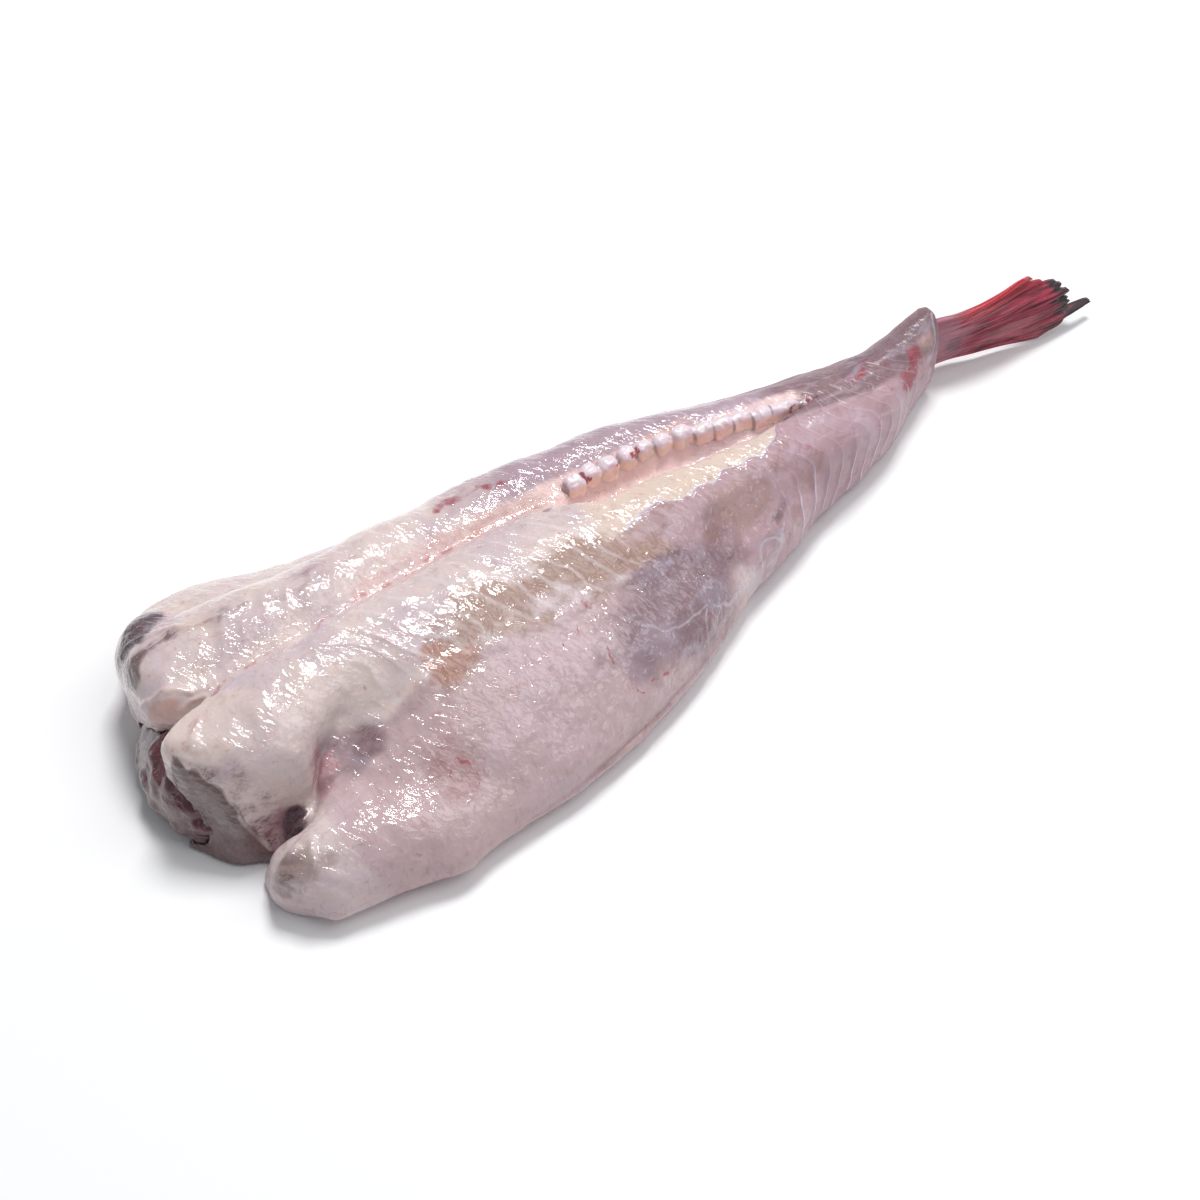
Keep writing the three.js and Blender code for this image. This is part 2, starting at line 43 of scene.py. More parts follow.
# A skinned monkfish tail, lying belly down: its flesh, belly lining, dorsal fin bases and tail fin. Each
# piece is its solid made again from the same values, meshed finer, with low relief and colours. Lengths are
# in mm along the fish: x = 0 at the head cut and BODY_LENGTH at the fin's root, +y the fish's right side,
# z = 0 the floor. ORIGIN is the row frame's origin in those coordinates.
BODY_LENGTH = 400.0
ORIGIN = np.array((237.0, -16.0, 0.0))
MM = 0.001

# ---- the body's form

# Profiles along the body: values by x.
GROOVE_Y = {
    -20: -7, 20: -4, 60: -2.4, 100: 0.2, 140: 2.4, 185: 3.2, 215: 2.4, 250: -0.5, 300: -6, 325: -9,
    350: -9, 375: -4, 400: 2.5,
}
NEAR_REACH = {
    -10: 60, 3: 80, 12: 94, 29: 100, 49: 104, 68: 110, 85: 107, 118: 101, 151: 91, 180: 85, 218: 76,
    249: 64, 279: 54, 303: 45, 326: 38, 350: 29, 376: 14, 392: 4.5, 400: 3,
}
FAR_REACH = {
    -10: 58, 10: 69, 26: 76, 46: 76, 77: 67, 132: 56, 182: 50, 252: 41, 285: 32, 326: 21, 358: 14,
    385: 13, 400: 14,
}
WALL_TOP = {-10: 30, 60: 31, 150: 31, 200: 35, 250: 38, 300: 36, 350: 33, 385: 32, 400: 33.5}
LOIN_TOP = {-10: 50, 50: 58, 100: 58, 150: 55, 200: 52, 250: 48, 300: 43, 350: 36, 380: 33, 400: 33}
NEAR_LOIN = {
    -10: 70, 8: 68, 22: 58, 36: 46, 50: 39, 71: 37, 93: 41, 150: 41, 200: 42, 250: 39, 300: 31, 350: 20,
    385: 11, 400: 8,
}
FAR_LOIN = {-10: 50, 46: 42, 77: 36, 132: 33, 182: 31, 252: 26, 285: 20, 326: 14, 358: 10, 400: 8}
# How steeply the near loin falls away sideways.
NEAR_SLOPE = {-10: 0.36, 20: 0.3, 50: 0.12, 90: 0, 400: 0}
# The head cut from above, x by y. Its rounding on the near side, how much more on the far side, and where
# across the fish that changes.
HEAD_CUT = {
    -95: 8, -88: 5, -80: 2, -70: 1, -62: 3, -56: 9, -50: 4, -44: 0, -38: -3, -33: -6, -28: -9, -20: -10,
    -14: -9, -10: -2, -5: 15, -1: 8, 5: -1, 12: -3, 30: -3, 50: 3, 70: 12, 90: 26,
}
HEAD_ROUND = 7
HEAD_ROUND_FAR = 5.5
HEAD_ROUND_CHANGE = (-12, 14)
# The fold between the near loin's end and the flap: its path in plan and the height of its bottom.
FOLD = [
    (-8, -56, -4), (5, -58, 3), (13, -61, 10), (19, -64, 16), (25, -63.5, 21), (31, -59, 25), (35, -53, 28),
    (41, -47, 33), (50, -43, 40), (60, -40, 50),
]
FOLD_RADIUS = 2.4
# The share of the radius that is lost by the fold's end, the steepness of its sides and its rounding.
FOLD_THINS = 0.7
FOLD_STEEP = 0.45
FOLD_ROUND = 4.5
# How widely each loin's side runs out into the belly wall.
NEAR_FILL = {-10: 8, 45: 10, 95: 26, 170: 26, 215: 18, 260: 8, 400: 6}
FAR_FILL = 8
# The shoulder between the near loin and the flap: top, half width, and distance from the groove.
SHOULDER_TOP = {30: 14, 55: 30, 85: 42, 150: 43, 190: 40, 225: 34, 255: 28}
SHOULDER_HALF = {30: 30, 190: 30, 225: 24, 255: 16}
SHOULDER_OUT = {30: 46, 190: 46, 225: 40, 255: 32}
SHOULDER_END = 240
SHOULDER_TAPER = 0.4
# The sections. A power says how square an oval is, and heights are shares of the profiles above.
WALL_POWER = 2.4
WALL_WIDEST = 0.3
WALL_UNDER = 1.25
SHOULDER_POWER = 2.2
SHOULDER_MIDDLE = 0.4
LOIN_POWER = 2.3
LOIN_MIDDLE = 0.46
LOIN_CENTRE = 0.5
LOIN_HALF = 0.6
# Where the two loins close up over the groove, and by what share.
LOINS_CLOSE = (295, 345)
LOINS_CLOSER = 0.2
FAR_LOIN_DROP = 3
# The near loin's fall begins this far from the groove.
FALL_START = 22
# The body's end leans back by END_LEAN per mm of height. END_ROUND rounds it and the belly's mouth.
END_LEAN = 0.24
BACK_AT_END = 36.0
END_ROUND = 0.8

# Lobes: centre, radii, turn about z in degrees, how square, and how softly it joins what comes before it.
LOBES = [
    # At the head end: the tongue by the groove, the far lump and the flap's tip.
    dict(at=(11, 4, 36), radii=(17, 8.5, 10), turn=153, power=2.1, blend=2.5),
    dict(at=(16, 43, 26), radii=(17, 14, 16), turn=20, power=2.1, blend=3),
    dict(at=(49, -80, 12), radii=(47, 21, 19), turn=-10, power=2.3, blend=5),
]
CAVITY = [
    # The open belly, its mouth at the head cut and the corner under the near loin.
    dict(at=(40, -6, 8), radii=(55, 44, 22), turn=0, power=2.3),
    dict(at=(4, -12, 14), radii=(19, 25, 17), turn=-12, power=2.2, blend=5),
    dict(at=(3, -27, 7), radii=(14, 14, 9.5), turn=-30, power=2.1, blend=4),
]
LINING_GAP = 0.3
# The slab beside the near loin's end leans out towards the floor. Above its top edge, z by y, the loin's
# end leans back, by so much per mm of height and per square mm.
SLAB_LEAN = 7.0
SLAB_HEIGHT = 34
SLAB_NEAR_EDGE = (-62, -50)
SLAB_FAR_EDGE = (-26, -33)
SLAB_TOP = {-75: 0, -62: 0, -54.5: 3, -50: 16, -46: 24, -38: 32, -29: 37, -20: 41, -12: 60}
LOIN_END_LEAN = (0.3, 0.03)
LOIN_END_NEAR = (-78, -66)
LOIN_END_FAR = (-14, -30)
# The groove along the back, and the trench round the fin bases. Both lie CUT_DEPTH below the loins' top.
CUT_DEPTH = 2
GROOVE_RADIUS = 2.6
GROOVE_END = (180, 200)
GROOVE_FADE = 6.6
GROOVE_TALL = 0.55
GROOVE_ROUND = 3.5
TRENCH_Y = {170: 2, 185: -1, 200: -5, 217: -5, 233: -5.5, 248: -7, 263: -8, 280: -9.5, 320: -11}
TRENCH_HALF = {165: -4, 180: 1.5, 190: 4, 203: 6.5, 217: 7.5, 248: 7, 263: 6, 280: 4.8, 318: 0, 332: -4}
TRENCH_TALL = 0.6
TRENCH_ROUND = 3

# The tail fin: its top and low edges seen from the side and from above, and its tips by height.
FIN_TOP_Z = {396: 33, 404: 33, 414: 33, 426: 34, 438: 35, 452: 34.5, 470: 32, 490: 30}
FIN_LOW_Z = {396: 2.5, 404: 3.5, 414: 3.5, 426: 3, 440: 2.2, 456: 1.5, 490: 2}
FIN_TOP_Y = {392: 2.5, 404: 0, 414: -3.4, 426: -5.6, 438: -5.6, 452: -3, 470: -2, 490: -2}
FIN_LOW_Y = {392: 2.5, 404: 1, 412: -0.5, 423: -4, 439: -8, 459: -14, 474: -15, 490: -14}
FIN_TIPS = {
    0: 457, 0.06: 462, 0.13: 479, 0.21: 492, 0.3: 485, 0.42: 478, 0.52: 480, 0.62: 476, 0.72: 475,
    0.8: 466, 0.88: 462, 0.95: 456, 1: 452,
}
FIN_RAYS = 9
# How far the web stops short of the tips, and the fan is sunk into the body.
FIN_NOTCH = 5
FIN_SUNK = 1.5
# Half thickness of its fleshy root, and where that thins out to the fan.
FIN_ROOT_HALF = 4.5
FIN_FLESHY = (BODY_LENGTH - 4, BODY_LENGTH + 30)
# Half thickness at the tips and how much more at the root, the share of it in the web and how much more in
# a ray, and how square the edges are: on the fleshy root and how much more after.
FIN_BLADE = (0.8, 0.8)
FIN_WEB = (0.6, 0.6)
FIN_EDGE = (2.2, 8)
# Notches in the fin's edge: place across it, half width, depth in mm.
FIN_NOTCHES = [(0.29, 0.03, 11), (0.45, 0.02, 5), (0.6, 0.025, 6), (0.72, 0.02, 7), (0.86, 0.02, 4)]
# Folds across the fin: height in mm, waves over its height, start.
FIN_FOLDS = [(1.8, 2.3, 1.0), (0.9, 5.1, 2.2), (0.3, 17, 0.4)]

# ---- marks on the flesh, in mm along the fish

# The yellowish strip beside the trench: its ragged outer edge, y by x, and its tail end.
CREAM_EDGE = {
    185: -38, 195: -33.8, 203: -30.8, 209: -29.2, 217: -28.6, 223: -28.3, 229: -30.4, 234: -30,
    241: -27.6, 249: -29.6, 257: -26.1, 266: -27.2, 271: -25.1, 276: -27.1, 281: -25.8, 286: -23.6,
    290: -19.7, 296: -12, 300: -5,
}
CREAM_END = 300.5
# The trench's near lip.
LIP_Y = {
    180: -5.7, 192: -8.2, 203: -11.1, 217: -12.5, 233: -12, 248: -13.9, 263: -15.3, 279: -16.2,
    292: -16.4, 303: -11, 318: -9,
}
# Where the near loin meets the belly flap.
FLAP_EDGE = {
    20: -62, 37: -50, 50: -43, 58: -45, 74: -51.5, 86: -51.7, 99: -50.5, 124: -51.9, 153: -51.7,
    174: -50.7, 197: -48, 225: -52, 250: -60, 275: -64,
}
# The bands across the loins: pitch, and how far they run back per mm from the groove.
BLOCK_PITCH = 11.5
BLOCK_LEAN = 0.66
# The white lines between the muscle blocks: pitch, place of one, and how far back it lies at each height.
SEPTUM_PITCH = 8.9
SEPTUM_START = 296.0
SEPTUM_SHAPE = {0: -9, 0.25: -7, 0.45: -4.2, 0.65: -0.6, 0.8: 0, 0.9: -3, 1: -12, 1.1: -24}
# Torn strands of membrane, and the skin's edge at the fin's root, as (x, y).
STRANDS = [
    [(197, -47.3), (202.4, -48.2), (205.2, -50), (201.4, -50.9), (204.3, -55.9), (208.5, -59.6),
     (217, -63.5), (221, -65.2)],
    [(174.6, -64.3), (177.3, -64.7), (178.5, -67.5), (181.3, -70.6), (188.2, -73), (195.1, -75.3),
     (201.2, -74.1), (207.8, -73.2), (214.7, -71.1)],
    [(217.5, -70), (221, -71.5), (217, -75), (213.5, -73), (209.2, -77.7)],
    [(220.1, -71.1), (226.8, -70.9), (236.5, -66.5), (245.4, -63), (250, -62.1), (253.6, -58.3),
     (259.2, -55.4), (267.3, -54.8), (270.6, -51.4)],
    [(270.6, -51.4), (261.8, -59), (254.3, -61.6)],
    [(141.8, -77.7), (143.9, -85.6), (145.9, -91.8)],
    [(399.3, 0.7), (396.8, -3.3), (394.6, -6.2), (392.4, -8.7), (390, -10.6), (387, -12.3)],
]
# Dark hairlines under the skin.
HAIRLINES = [
    [(209.3, -39.5), (216.3, -49.1), (219.9, -53.5), (221.7, -57.2), (219.1, -60.7)],
    [(254.6, -46.9), (258.2, -53.1)],
    [(264.8, -47), (265.9, -49.2)],
    [(247.2, -48.4), (249.2, -51.8)],
    [(234.1, -55.9), (240.9, -55.6)],
]
# Fine red vessels on the flap and cuts on the peduncle.
VESSELS = [
    [(164.1, -51.7), (166, -53.6), (167.8, -53.6)],
    [(166.7, -57.4), (166.2, -60)],
    [(156.1, -59.5), (155, -64)],
    [(162.1, -71.9), (161.5, -76)],
    [(171.6, -69.1), (171.3, -72.5)],
    [(147.1, -63.4), (146.6, -66)],
    [(165.1, -87.3), (168.2, -90)],
    [(182.2, -85.9), (178, -87), (173.6, -88.2)],
    [(342.2, -17.1), (344.4, -18.7), (345.2, -21.3)],
    [(354.3, -19), (355.2, -20.9), (355.3, -22.9)],
    [(76, -72), (80, -79), (79, -84)],
    [(84, -79), (88, -86), (86, -92)],
]
# Creases at the head end, as (x, y, z).
CREASES = [
    [(1.8, 40.3, 37), (5.4, 41, 41), (9.1, 37.7, 45.3), (19.2, 32.4, 49.6), (30.5, 24, 52.4),
     (41, 21, 54.9), (52, 20.5, 54.7)],
    [(-5, 16, 34), (-3.5, 12, 39), (-1, 8.6, 43), (3.7, 8, 46.6), (8.1, 5.1, 47.4), (13, 1, 47)],
    [(16.8, -2.6, 44.3), (11, -0.9, 43.7), (6.1, -0.8, 41), (2.1, -0.4, 37), (-2, -1.5, 34)],
    [(16, -6, 50), (6.6, -17.1, 51.5), (1.7, -20.9, 51.1), (-5, -27, 44)],
    [(20.5, -76.9, 28.8), (16.9, -80.5, 27.4), (13.4, -84.3, 24.9), (8, -89, 19)],
]

# The rim above the slab, as (x, y, z), and where the slab's colour fades: along x, on both sides across y,
# and above the rim.
RIM = [
    (-9, -23, 46), (-6.3, -27.8, 44.3), (-3.2, -31.9, 42.4), (-1.6, -35.8, 39), (1.3, -40.9, 35.8),
    (2.9, -44.7, 30.8), (3.8, -47.9, 25.7), (5.7, -51.3, 20.6), (8.6, -54.4, 12.1), (10.6, -56.9, 7.1),
]
SLAB_REACH = ((16, 12), (-62, -59), (-20, -24), (1, -0.6))
# Where marks come in and go out again, along the fish.
BLOCK_RELIEF_AT = ((14, 44), (160, 215))
BLOCK_LINES_AT = ((40, 80), (186, 206))
SEPTUM_RELIEF_AT = ((262, 292), (365, 388))
SEPTUM_LINES_AT = ((268, 288), (372, 392))
HAZE_AT = ((285, 330), (360, 385))
FLAP_AT = ((22, 42), (215, 262))
FLAP_SEAM_AT = ((60, 80), (185, 205))
GROOVE_CREASE_AT = ((20, 30), (165, 185))
GROOVE_THREAD_AT = ((14, 22), (172, 192))
GROOVE_FLOOR_AT = ((60, 110), (176, 192))
LIP_FILM_AT = ((12, 22), (60, 100))
TRENCH_AT = ((178, 188), (306, 322))
CREAM_LINE_AT = ((190, 197), (298, 303))
# The relief: lumps as (size, height, seed), and the heights and depths of the marks, in mm.
LUMPS = [(30, 0.7, 1), (12, 0.35, 2), (5, 0.16, 3)]
BLOCK_HEIGHT = 0.55
SEPTUM_HEIGHT = 0.22
CREAM_STEP = 0.5
CREAM_LIP = 0.35
SEAM_DEPTH = 0.7
CREASE_DEPTH = 1.1
RIM_HEIGHT = 0.5
STRAND_HEIGHT = 0.18
GROOVE_CREASE_DEPTH = 0.5

# Soft patches of colour: mask, centre, radii, turn about z, strength. Their outlines wander by PATCH_DRIFT.
PATCH_DRIFT = 3.8
PATCHES = [
    ("plum", (12, 47, 39), (24, 15, 17), 30, 1.4),
    ("rose", (30, 45, 44), (20, 15, 15), 20, 0.9),
    ("dark", (-2, 26, 40), (15, 12, 16), 20, 1.3),
    ("hair", (6, 27, 47), (19, 11, 12), 20, 1),
    ("peach", (2, 4, 40), (17, 9, 14), -27, 1),
    ("peach", (2, -13, 47), (16, 8, 12), -40, 0.7),
    ("speck", (-6, -21, 45), (9, 10, 9), 0, 1),
    ("plum", (20, -62, 13), (11, 8, 13), -25, 1.2),
    ("rose", (15, -60, 14), (16, 12, 16), -25, 0.8),
    ("olive", (11, -80, 23), (22, 17, 20), -20, 0.85),
    ("dusk", (12, -77, 25), (15, 8, 14), -20, 0.9),
    ("hair", (9, -82, 22), (17, 13, 16), -10, 0.6),
    ("dusk", (55, -52, 35), (22, 15, 16), 15, 0.7),
    ("hair", (57, -51, 36), (15, 15, 12), 0, 0.55),
    ("rust", (83, -82, 33), (20, 24, 20), -10, 0.7),
    ("orange", (99.5, -43.5, 54.5), (13, 10, 9), 20, 1.1),
    ("orange", (107, -48, 53), (14, 8, 8), 0, 0.9),
    ("dusk", (206, -66, 34), (68, 33, 38), 10, 1.05),
    ("dusk", (276, -47, 28), (11, 8, 11), 0, 0.8),
    ("milky", (200, -54, 42), (17, 9, 12), 0, 0.7),
    ("milky", (222, -69, 26), (20, 10, 14), 0, 1),
    ("milky", (187, -77, 33), (17, 9, 12), 0, 0.7),
    ("milky", (260, -55, 24), (18, 8, 12), 0, 0.8),
    ("tan", (250, -40, 38), (36, 16, 17), 15, 0.8),
    ("tan", (192, -43, 49), (30, 14, 12), 0, 0.9),
    ("blood", (378, -12, 31), (12, 10, 11), 20, 1.1),
    ("blood", (370, -17, 29), (12, 9, 11), 0, 0.9),
    ("blood", (349, -7.5, 37), (17, 5, 7), -5, 0.8),
    ("peach", (388, -6, 33), (10, 8, 9), 0, 0.5),
    ("peach", (250, 7, 47), (45, 8, 8), -8, 0.8),
]
# Soft bands of colour along paths: mask, path, half width, strength.
BANDS = [
    ("hair", [(5, -40, 38), (8, -46, 32), (10, -50, 25), (9, -53.5, 15)], 15, 1.1),
    ("hair", [(38, 24, 53), (52, 19.5, 54.6), (68, 16, 56), (92, 15.5, 56)], 9, 0.5),
    ("rose", [(19, -64, 20), (28, -61, 24), (35, -53, 30), (44, -46, 36)], 9, 0.9),
    ("ochre", [(104, -46), (124, -42), (143, -40), (163, -40), (184, -41), (203, -41)], 18, 1),
    ("dusk", [(345, -4, 36), (366, -2, 35), (381, -1, 36), (396, 0, 37)], 12, 1.1),
    ("dusk", [(178.6, -5.2, 52), (189, 0, 47), (199, 3.5, 47)], 5, 1),
    ("blood", [(140, 22.5, 50), (180, 20, 50)], 5, 0.8),
]

# ---- curves, blends and noise


def along(profile, place):
    """Smooth curve through a profile's values, held level past both ends."""
    places = np.array(list(profile), float)
    values = np.array(list(profile.values()), float)
    slopes = np.gradient(values, places)
    place = np.clip(place, places[0], places[-1])
    i = np.clip(np.searchsorted(places, place, side="right") - 1, 0, len(places) - 2)
    step = places[i + 1] - places[i]
    t = (place - places[i]) / step
    return (
        (2 * t**3 - 3 * t**2 + 1) * values[i]
        + (t**3 - 2 * t**2 + t) * step * slopes[i]
        + (3 * t**2 - 2 * t**3) * values[i + 1]
        + (t**3 - t**2) * step * slopes[i + 1]
    )


def ramp(start, end, value):
    """0 before start, rising smoothly to 1 at end."""
    t = np.clip((value - start) / (end - start), 0, 1)
    return t * t * (3 - 2 * t)


def bump_of(distance, width):
    """1 at distance 0, falling smoothly to 0 at width."""
    return 1 - ramp(0, width, np.abs(distance))


def within(stretch, place):
    """1 inside a stretch, falling smoothly to 0 at both its ends."""
    (start, full), (fading, end) = stretch
    return ramp(start, full, place) * (1 - ramp(fading, end, place))


def join(a, b, radius):
    """Union of two fields with a rounded joint."""
    h = np.clip(0.5 + 0.5 * (b - a) / radius, 0, 1)
    return b + (a - b) * h - radius * h * (1 - h)


def common(a, b, radius):
    """Intersection of two fields with a rounded edge."""
    return -join(-a, -b, radius)


# The noise's random values at whole numbers, repeated beyond LATTICE_SIZE.
LATTICE_SIZE = 32
LATTICE = np.random.default_rng(11).uniform(-1, 1, (LATTICE_SIZE,) * 3)
LATTICE_START = 100
SEED_SHIFT = np.array((17.3, 5.1, 9.7))
NOISE_GAIN = 1.6


def noise(points, size, seed=0):
    """Smooth noise from about -1 to 1, its features of the given size in mm, or one size per axis."""
    q = points / np.asarray(size, float) + SEED_SHIFT * seed + LATTICE_START
    cell = np.floor(q).astype(int)
    f = q - cell
    f = f * f * f * (f * (f * 6 - 15) + 10)
    total = 0
    for dx in (0, 1):
        for dy in (0, 1):
            for dz in (0, 1):
                share = np.abs(1 - np.array((dx, dy, dz)) - f)
                weight = share[:, 0] * share[:, 1] * share[:, 2]
                corner = (cell + (dx, dy, dz)) % LATTICE_SIZE
                total = total + weight * LATTICE[corner[:, 0], corner[:, 1], corner[:, 2]]
    return total * NOISE_GAIN


def astray(points, amount, size, seed):
    """The points, each moved up to so many mm, by three noises of the given size."""
    return points + amount * np.stack([noise(points, size, seed + k) for k in range(3)], axis=1)


def path_distance(points, path):
    """Distance in mm to a polyline, seen from above where the path has no heights."""
    path = np.asarray(path, float)
    points = points[:, : path.shape[1]]
    best = np.full(len(points), np.inf)
    for start, end in zip(path[:-1], path[1:]):
        step = end - start
        t = np.clip((points - start) @ step / (step @ step), 0, 1)
        best = np.minimum(best, np.linalg.norm(points - start - t[:, None] * step, axis=1))
    return best


def blob(points, centre, radii, turn=0.0):
    """1 near the centre, falling smoothly to 0 at the radii."""
    c, s = math.cos(math.radians(turn)), math.sin(math.radians(turn))
    d = points - np.asarray(centre, float)
    u = (d[:, 0] * c + d[:, 1] * s) / radii[0]
    v = (-d[:, 0] * s + d[:, 1] * c) / radii[1]
    w = d[:, 2] / radii[2]
    return 1 - ramp(0.25, 1.0, np.sqrt(u * u + v * v + w * w))


# ---- fields, negative inside


def oval_field(y, z, y_mid, z_mid, y_half, z_half, power):
    reach = (np.abs((y - y_mid) / y_half) ** power + np.abs((z - z_mid) / z_half) ** power) ** (1 / power)
    return (reach - 1) * np.minimum(y_half, z_half)


def lobe_field(x, y, z, lobe):
    c, s = math.cos(math.radians(lobe["turn"])), math.sin(math.radians(lobe["turn"]))
    dx, dy = x - lobe["at"][0], y - lobe["at"][1]
    u = np.abs((dx * c + dy * s) / lobe["radii"][0])
    v = np.abs((dy * c - dx * s) / lobe["radii"][1])
    w = np.abs((z - lobe["at"][2]) / lobe["radii"][2])
    power = lobe["power"]
    return ((u**power + v**power + w**power) ** (1 / power) - 1) * min(lobe["radii"])


def fold_field(x, y, z):
    """The cutter that makes the fold. It is open upwards."""
    distance, place = np.inf, 0.0
    for k in range(len(FOLD) - 1):
        (ax, ay, az), (bx, by, bz) = FOLD[k], FOLD[k + 1]
        dx, dy = bx - ax, by - ay
        t = np.clip(((x - ax) * dx + (y - ay) * dy) / (dx**2 + dy**2), 0, 1)
        flat = np.hypot(x - ax - t * dx, y - ay - t * dy)
        here = np.hypot(flat, FOLD_STEEP * np.minimum(z - az - t * (bz - az), 0))
        place = np.where(here < distance, (k + t) / (len(FOLD) - 1), place)
        distance = np.minimum(distance, here)
    return distance - FOLD_RADIUS * (1 - FOLD_THINS * place)


def cavity_field(x, y, z):
    hollow, *others = CAVITY
    field = lobe_field(x, y, z, hollow)
    for lobe in others:
        field = join(field, lobe_field(x, y, z, lobe), lobe["blend"])
    return field


def head_cut(y, z):
    """Where the head end is cut, along the fish."""
    slab = ramp(*SLAB_NEAR_EDGE, y) * ramp(*SLAB_FAR_EDGE, y) * (1 - ramp(0, SLAB_HEIGHT, z))
    above = np.maximum(z - along(SLAB_TOP, y), 0)
    lean_here = ramp(*LOIN_END_FAR, y) * ramp(*LOIN_END_NEAR, y)
    back = lean_here * (LOIN_END_LEAN[0] * above + LOIN_END_LEAN[1] * above**2)
    return along(HEAD_CUT, y) - SLAB_LEAN * slab + back


def body_end(z):
    """Where the fin's root begins, along the fish."""
    return BODY_LENGTH - END_LEAN * (BACK_AT_END - z)


def body_field(x, y, z):
    """The belly wall, the shoulder and the two loins, before anything is cut."""
    groove_y = along(GROOVE_Y, x)
    near = along(NEAR_REACH, x)
    far = along(FAR_REACH, x)
    wall = along(WALL_TOP, x)
    wide = WALL_WIDEST * wall
    rise = np.where(z > wide, wall - wide, wide * WALL_UNDER)
    belly = oval_field(y, z, (far - near) / 2, wide, (far + near) / 2, rise, WALL_POWER)

    shoulder_top = along(SHOULDER_TOP, x)
    low = SHOULDER_MIDDLE * shoulder_top
    out = groove_y - along(SHOULDER_OUT, x)
    shoulder_half = along(SHOULDER_HALF, x)
    shoulder = oval_field(y, z, out, low, shoulder_half, shoulder_top - low, SHOULDER_POWER)
    shoulder = shoulder + SHOULDER_TAPER * np.maximum(x - SHOULDER_END, 0)

    top = along(LOIN_TOP, x)
    middle = LOIN_MIDDLE * top
    closing = LOINS_CLOSER * ramp(*LOINS_CLOSE, x)
    centre, half = LOIN_CENTRE - closing, LOIN_HALF + closing
    near_width = along(NEAR_LOIN, x)
    fallen = z + along(NEAR_SLOPE, x) * (groove_y - y - FALL_START)
    near_y = groove_y - centre * near_width
    near_loin = oval_field(y, fallen, near_y, middle, half * near_width, top - middle, LOIN_POWER)
    far_width = along(FAR_LOIN, x)
    far_y = groove_y + centre * far_width
    far_rise = top - FAR_LOIN_DROP - middle
    far_loin = oval_field(y, z, far_y, middle, half * far_width, far_rise, LOIN_POWER)

    fill = along(NEAR_FILL, x)
    return join(join(join(belly, shoulder, fill), near_loin, fill), far_loin, FAR_FILL)


def flesh_field(x, y, z):
    rounding = HEAD_ROUND + HEAD_ROUND_FAR * ramp(*HEAD_ROUND_CHANGE, y)
    field = common(body_field(x, y, z), head_cut(y, z) - x, rounding)
    for lobe in LOBES:
        field = join(field, lobe_field(x, y, z, lobe), lobe["blend"])
    field = common(field, -fold_field(x, y, z), FOLD_ROUND)

    depth = z - along(LOIN_TOP, x) + CUT_DEPTH
    groove_radius = GROOVE_RADIUS - GROOVE_FADE * ramp(*GROOVE_END, x)
    groove = groove_radius - np.hypot(y - along(GROOVE_Y, x), GROOVE_TALL * depth)
    field = common(field, groove, GROOVE_ROUND)
    trench = along(TRENCH_HALF, x) - np.hypot(y - along(TRENCH_Y, x), TRENCH_TALL * depth)
    field = common(field, trench, TRENCH_ROUND)
    field = common(field, x - body_end(z), END_ROUND)
    field = common(field, LINING_GAP - cavity_field(x, y, z), END_ROUND)
    return np.maximum(field, -z)


# ---- meshes

# Where each field is sampled: low corner, high corner and spacing in mm.
FLESH_GRID = ((-24, -124, -3), (404, 88, 64), 1.0)
LINING_GRID = ((-24, -64, -3), (104, 46, 38), 1.0)
BASES_GRID = ((190, -24, 24), (336, 8, 54), 0.5)


def surface_of(field, low, high, voxel):
    """Points in mm and quads of the surface where the field is zero."""
    low = np.array(low, float)
    counts = np.ceil((np.array(high) - low) / voxel).astype(int) + 1
    xs, ys, zs = (low[k] + voxel * np.arange(counts[k]) for k in range(3))
    values = np.empty(counts, np.float32)
    # A few layers at a time, so that the arrays inside the field stay small.
    layers = 24
    for i in range(0, counts[0], layers):
        part = slice(i, i + layers)
        values[part] = field(xs[part, None, None], ys[None, :, None], zs[None, None, :])
    grid = openvdb.FloatGrid(background=10.0)
    grid.copyFromArray(values)
    points, quads = grid.convertToQuads(isovalue=0.0)
    return points * voxel + low, quads[:, ::-1]


def normals_of(points, quads):
    """Unit normals at the points, averaged from the quads round each."""
    across = np.cross(points[quads[:, 2]] - points[quads[:, 0]], points[quads[:, 3]] - points[quads[:, 1]])
    normals = np.zeros_like(points)
    for corner in range(4):
        np.add.at(normals, quads[:, corner], across)
    return normals / np.maximum(np.linalg.norm(normals, axis=1, keepdims=True), 1e-9)


def raised(points, quads, relief):
    """The points pushed out along their normals, but never below the floor."""
    points = points + normals_of(points, quads) * relief[:, None]
    points[:, 2] = np.maximum(points[:, 2], 0)
    return points


def make_piece(name, points, faces, material, replaces, masks):
    """A smooth mesh with float masks on its points."""
    mesh = bpy.data.meshes.new(name)
    mesh.from_pydata(((points - ORIGIN) * MM).tolist(), [], [list(map(int, f)) for f in faces])
    mesh.polygons.foreach_set("use_smooth", [True] * len(mesh.polygons))
    for mask, values in masks.items():
        attribute = mesh.attributes.new(mask, "FLOAT", "POINT")
        attribute.data.foreach_set("value", np.asarray(values, np.float32))
    mesh.materials.append(material)
    piece = bpy.data.objects.new(name, mesh)
    bpy.context.scene.collection.objects.link(piece)
    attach(piece, "root")
    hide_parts(*replaces)


def srgb(red, green, blue):
    """A screen colour, 0 to 255, as the linear one that shaders take."""
    parts = np.array((red, green, blue)) / 255
    linear = np.where(parts <= 0.04045, parts / 12.92, ((parts + 0.055) / 1.055) ** 2.4)
    return (*(float(part) for part in linear), 1.0)


